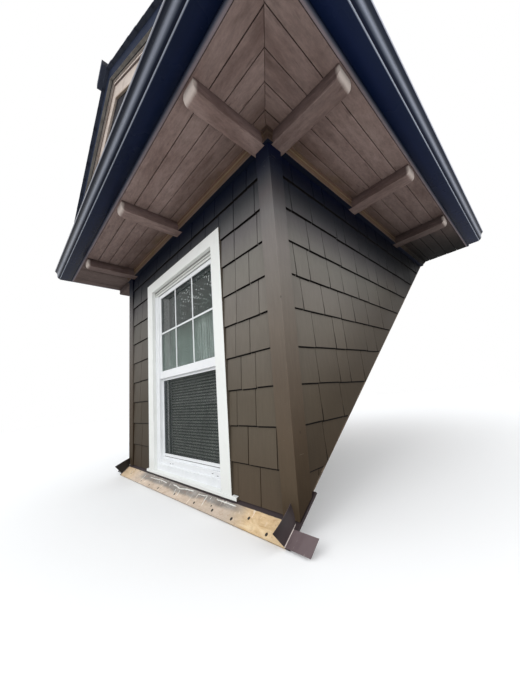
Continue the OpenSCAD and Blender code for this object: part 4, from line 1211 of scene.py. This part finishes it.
# Insect screen: a mitred aluminium rim, a fine mesh, a dark line on its lower rail painted as a shadow line,
# dark strips painted as the shade on the sash stiles behind the mesh, and bright strips
TRACK_X0, TRACK_X1 = WINDOW_X - 0.4382, WINDOW_X + 0.4382
build = Build()
x0, x1, z0, z1 = TRACK_X0, TRACK_X1, 0.0683, 0.6917
w, foot = 0.017, z0 + 0.0385
rim = [(x0, z0), (x1, z0), (x1, z1), (x0, z1)]
hole = [(x0 + w, foot), (x1 - w, foot), (x1 - w, z1 - w), (x0 + w, z1 - w)]
for i in range(4):
    j = (i + 1) % 4
    build.slab([rim[i], rim[j], hole[j], hole[i]], upright, -0.006, -0.015)
build.box((x0 + 0.012, -0.0108, z0 + 0.012), (x1 - 0.012, -0.0104, z1 - 0.012), paint=1)
# Painted shadow: a dark line on the rim's lower rail
build.box((x0 + w, -0.0154, z0 + 0.0160), (x1 - w, -0.0146, z0 + 0.0192), paint=2)
# Painted shade: dark strips at the sides, standing for the shaded sash stiles, with bright strips on them
for x in (x0 + w, x1 - w - 0.037):
    build.box((x, -0.0102, foot), (x + 0.037, -0.0096, z1 - w), paint=3)
    for a, b in ((0.010, 0.0125), (0.0245, 0.0265)):
        build.box((x + a, -0.0118, foot), (x + b, -0.0110, z1 - w), paint=4)
build.make("screen_frame", [VINYL, MESH, NAIL, STILE_SHADE, SPACER], ("insect_screen",),
           bevel=0.0006, segments=1)

# Drain slots in the frame's foot, drawn as dark patches that stand for the shade in them
build = Build()
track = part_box("upper_sash")[0][1]
for x, z in ((-0.263, 0.047), (-0.222, 0.050), (0.333, 0.0525), (0.388, 0.0445)):
    build.box((x - 0.009, track - 0.0010, z - 0.0014), (x + 0.009, track + 0.002, z + 0.0014))
build.make("drain_slots", [NAIL], (), bevel=0.0004, segments=1)

# Blind: crowned slats on cord ladders between a head rail and a foot rail
SLAT_HALF, FOOT_LOW, FOOT_TOP, BLIND_Y = 0.0125, 0.089, 0.101, 0.0448
build = Build()
build.box((TRACK_X0, BLIND_Y - SLAT_HALF, BLIND_LOW), (TRACK_X1, BLIND_Y + SLAT_HALF, PANE_LOW))
crown = [(v, 0.0022 * (1 - (v / SLAT_HALF) ** 2)) for v in (SLAT_HALF * (q / 3 - 1) for q in range(7))]
slat = [(v, h + 0.0003) for v, h in crown] + [(v, h - 0.0003) for v, h in crown[::-1]]
rng = random.Random(4)
for i in range(1, math.floor((BLIND_LOW - FOOT_TOP) / SLAT_STEP) + 1):
    turn = math.radians(52) + rng.uniform(-0.05, 0.05)
    c, s = math.cos(turn), math.sin(turn)
    build.slab(slat, lambda v, h, x: (x, BLIND_Y + v * c - h * s, BLIND_LOW - i * SLAT_STEP + v * s + h * c),
               TRACK_X0 + 0.002, TRACK_X1 - 0.002, rng.random())
for x in (TRACK_X0 + 0.12, WINDOW_X, TRACK_X1 - 0.12):
    for y in (BLIND_Y - 0.0085, BLIND_Y + 0.0085):
        build.box((x - 0.0012, y - 0.0006, FOOT_LOW), (x + 0.0012, y + 0.0006, BLIND_LOW), paint=1)
build.box((TRACK_X0, BLIND_Y - 0.010, FOOT_LOW), (TRACK_X1, BLIND_Y + 0.010, FOOT_TOP))
build.make("slatted_blind", [SLAT, CORD], ("window_blind",), smooth=40)

# Plywood strip with its nail heads and old sealant, then the bent flashings
dressed("apron_board", "plywood_strip", PLY, 0.0012, 1)


def on_deck(x, s, h):
    """A point on the plywood: s is measured down the slope from the wall's foot, h square to it."""
    base = TRIM / ROOF_COS - s
    return Vector((x, base * ROOF_COS - (DECK + h) * ROOF_SIN, base * ROOF_SIN + (DECK + h) * ROOF_COS))


build = Build()
rng = random.Random(12)
NAILS = [(-0.868, 0.044, 0.8), (-0.862, 0.004, 0.6), (-0.736, 0.003, 0.6), (-0.574, 0.0645, 0.8),
         (-0.399, 0.0685, 0.9), (-0.237, 0.065, 1.0), (0.019, 0.0595, 1.1), (0.284, 0.0625, 1.0),
         (0.452, 0.0440, 0.7), (0.483, 0.0615, 1.2), (0.663, 0.0635, 1.2), (0.773, 0.0335, 1.1),
         (0.9255, 0.0660, 1.2)]
for x, s, wide in NAILS:
    r = rng.uniform(0.0062, 0.0072) * wide
    ring = [(r * math.cos(a), r * math.sin(a)) for a in (2 * math.pi * i / 14 for i in range(14))]
    build.loft([[on_deck(x + u * part, s + v * part, h) for u, v in ring]
                for part, h in ((1.0, -0.0008), (1.0, 0.0007), (0.7, 0.0012))])
build.make("nail_heads", [NAIL], (), smooth=40)

# Each bead of sealant: half its width, then where it runs
BEADS = [
    (0.0026, (-0.478, 0.017), (-0.415, 0.0181), (-0.348, 0.013), (-0.27, 0.0108), (-0.182, 0.0157)),
    (0.0036, (-0.085, 0.0104), (-0.027, 0.0127), (0.023, 0.0202), (0.075, 0.0127), (0.135, 0.0076),
     (0.196, 0.0049)),
    (0.0024, (0.262, 0.014), (0.28, 0.0115), (0.325, 0.0096), (0.357, 0.004)),
    (0.0026, (0.457, 0.0046), (0.517, 0.0048), (0.575, 0.0050), (0.644, 0.0046)),
    (0.0017, (-0.011, 0.0302), (0.002, 0.0505), (0.014, 0.0663)),
    (0.0016, (0.047, 0.0299), (0.057, 0.0524), (0.06, 0.0660)),
    (0.0020, (0.359, 0.003), (0.360, 0.0233), (0.365, 0.0465), (0.368, 0.0610)),
    (0.0018, (0.405, 0.003), (0.404, 0.009), (0.402, 0.0178)),
    (0.0014, (-0.588, 0.0102), (-0.59, 0.0378), (-0.587, 0.0640)),
    (0.0013, (-0.885, 0.0211), (-0.866, 0.0431), (-0.862, 0.0573)),
    (0.0013, (-0.30, 0.018), (-0.285, 0.034)), (0.0012, (-0.13, 0.012), (-0.12, 0.026))]
build = Build()
rng = random.Random(21)
for half, *knots in BEADS:
    points = []
    for (xa, sa), (xb, sb) in zip(knots, knots[1:]):
        n = max(2, round(math.hypot(xb - xa, sb - sa) / 0.009))
        points += [(xa + (xb - xa) * i / n + rng.uniform(-0.0008, 0.0008),
                    sa + (sb - sa) * i / n + rng.uniform(-0.0012, 0.0012)) for i in range(n)]
    points.append(knots[-1])
    loops = []
    for i, (a, (x, s), b) in enumerate(zip(points[:1] + points, points, points[1:] + points[-1:])):
        d = Vector((b[0] - a[0], b[1] - a[1])).normalized()
        w = half * rng.uniform(0.6, 1.35) * (0.25 if i in (0, len(points) - 1) else 1.0)
        h = 0.0021 * rng.uniform(0.6, 1.1)
        loops.append([on_deck(x - d.y * u, s + d.x * u, v) for u, v in (
            (-w, -0.0006), (-w * 0.7, h * 0.7), (0, h), (w * 0.7, h * 0.7), (w, -0.0006))])
    build.loft(loops)
build.make("old_sealant_beads", [SEALANT], (), smooth=60)


def flashing(name, node, material, side, front):
    """A bent sheet: its upright leaf leans on the corner board, its flat leg lies on the roof."""
    build = Build()
    fold_x, tip_x, leg_x, thick = SIDE + 0.001, 1.0255, 1.181, 0.0015
    foot_end, leg_end, rest, face = -0.006, 0.012, 0.0004, 0.0019
    high_front = on_deck(side * fold_x, front, 0.092)
    tip = Vector((side * tip_x, -0.0768, 0.0334))
    leaf = []
    for t in (i / 8 for i in range(9)):
        low = on_deck(side * fold_x, front + (foot_end - front) * t, 0.0006)
        high = high_front + (tip - high_front) * t
        lean = side * (tip_x - fold_x) * t * t
        sheet = []
        for j in range(5):
            p = low + (high - low) * (j / 4)
            p.x = side * fold_x + lean * (j / 4) ** 2
            sheet.append(p)
        leaf.append(sheet + [p + Vector((side * thick, 0, 0)) for p in sheet[::-1]])
    build.loft(leaf)
    leg = []
    for i in range(7):
        x = side * (fold_x + (leg_x - fold_x) * i / 6)
        top = face + 0.0004 * math.sin(2.4 * i)
        corners = ((front, rest), (leg_end, rest), (leg_end, top), (front, top))
        leg.append([on_deck(x, s, h) for s, h in corners])
    build.loft(leg)
    bead = []
    for i in range(6):
        at = on_deck(side * (fold_x + 0.001), front + (leg_end - front) * i / 5, 0.0016)
        bead.append([at + 0.0014 * Vector((math.cos(a), -ROOF_SIN * math.sin(a), ROOF_COS * math.sin(a)))
                     for a in (math.pi * q / 4 for q in range(8))])
    build.loft(bead)
    build.make(name, [material], (node,), bevel=0.0003, segments=1)


flashing("black_flashing_sheet", "left_flashing", BLACK, -1, 0.070)
flashing("brown_flashing_sheet", "right_flashing", BROWN, 1, 0.083)

# Floor: grey to the light and near white to the camera, blending into the background far off
k = Look("studio_floor")
seen = add_node(k.tree, "LightPath").outputs["Is Camera Ray"]
k.colour = k.mix(seen, (0.47, 0.46, 0.45, 1), (0.86, 0.86, 0.86, 1))
k.done(0.9, specular=0.1)
distance = add_node(k.tree, "VectorMath", [k.coord], operation="LENGTH").outputs["Value"]
glow = add_node(k.tree, "Emission").outputs[0]
blend = add_node(k.tree, "MixShader", [k.mul(k.band(distance, 4.0, 16.0), seen), k.bsdf.outputs[0], glow])
out = next(n for n in k.tree.nodes if n.type == "OUTPUT_MATERIAL")
attach(k.tree, out.inputs["Surface"], blend.outputs[0])
mesh = bpy.data.meshes.new("studio_floor")
mesh.from_pydata([(60 * u, 60 * v, cad_lo[2] - 0.002) for u, v in ((-1, -1), (1, -1), (1, 1), (-1, 1))], [],
                 [(0, 1, 2, 3)])
mesh.materials.append(k.mat)
floor = bpy.data.objects.new("studio_floor", mesh)
scene.collection.objects.link(floor)

# World: white to the camera and in the glass, elsewhere a soft sky that brightens upwards
world = bpy.data.worlds.new("studio")
scene.world = world
world.use_nodes = True
tree = world.node_tree
tree.nodes.clear()
rays = add_node(tree, "LightPath").outputs
seen = rays["Is Camera Ray"]
for other in ("Is Glossy Ray", "Is Transmission Ray"):
    seen = add_node(tree, "Math", [seen, rays[other]], operation="MAXIMUM").outputs[0]
direction = add_node(tree, "SeparateXYZ", [add_node(tree, "TexCoord").outputs["Generated"]])
strength = add_node(tree, "MapRange", [direction.outputs[2], 0.0, 0.55, 0.36, 1.33]).outputs[0]
sky = add_node(tree, "Background", [(0.96, 0.98, 1.0, 1), strength]).outputs[0]
white = add_node(tree, "Background", [WHITE]).outputs[0]
add_node(tree, "OutputWorld", [add_node(tree, "MixShader", [seen, sky, white]).outputs[0]])


def softbox(name, place, target, wide, high, power):
    data = bpy.data.lights.new(name, "AREA")
    data.shape = "RECTANGLE"
    data.size = wide
    data.size_y = high
    data.energy = power
    o = bpy.data.objects.new(name, data)
    scene.collection.objects.link(o)
    o.location = place
    o.rotation_euler = (Vector(target) - Vector(place)).to_track_quat("-Z", "Y").to_euler()


softbox("key_light", (1.5, -7.0, 4.6), (0.2, -0.1, 1.0), 5.0, 3.5, 224)
softbox("side_light", (7.5, -1.5, 4.2), (1.1, 0.6, 1.0), 4.0, 3.0, 163)

scene.view_settings.view_transform = "Standard"
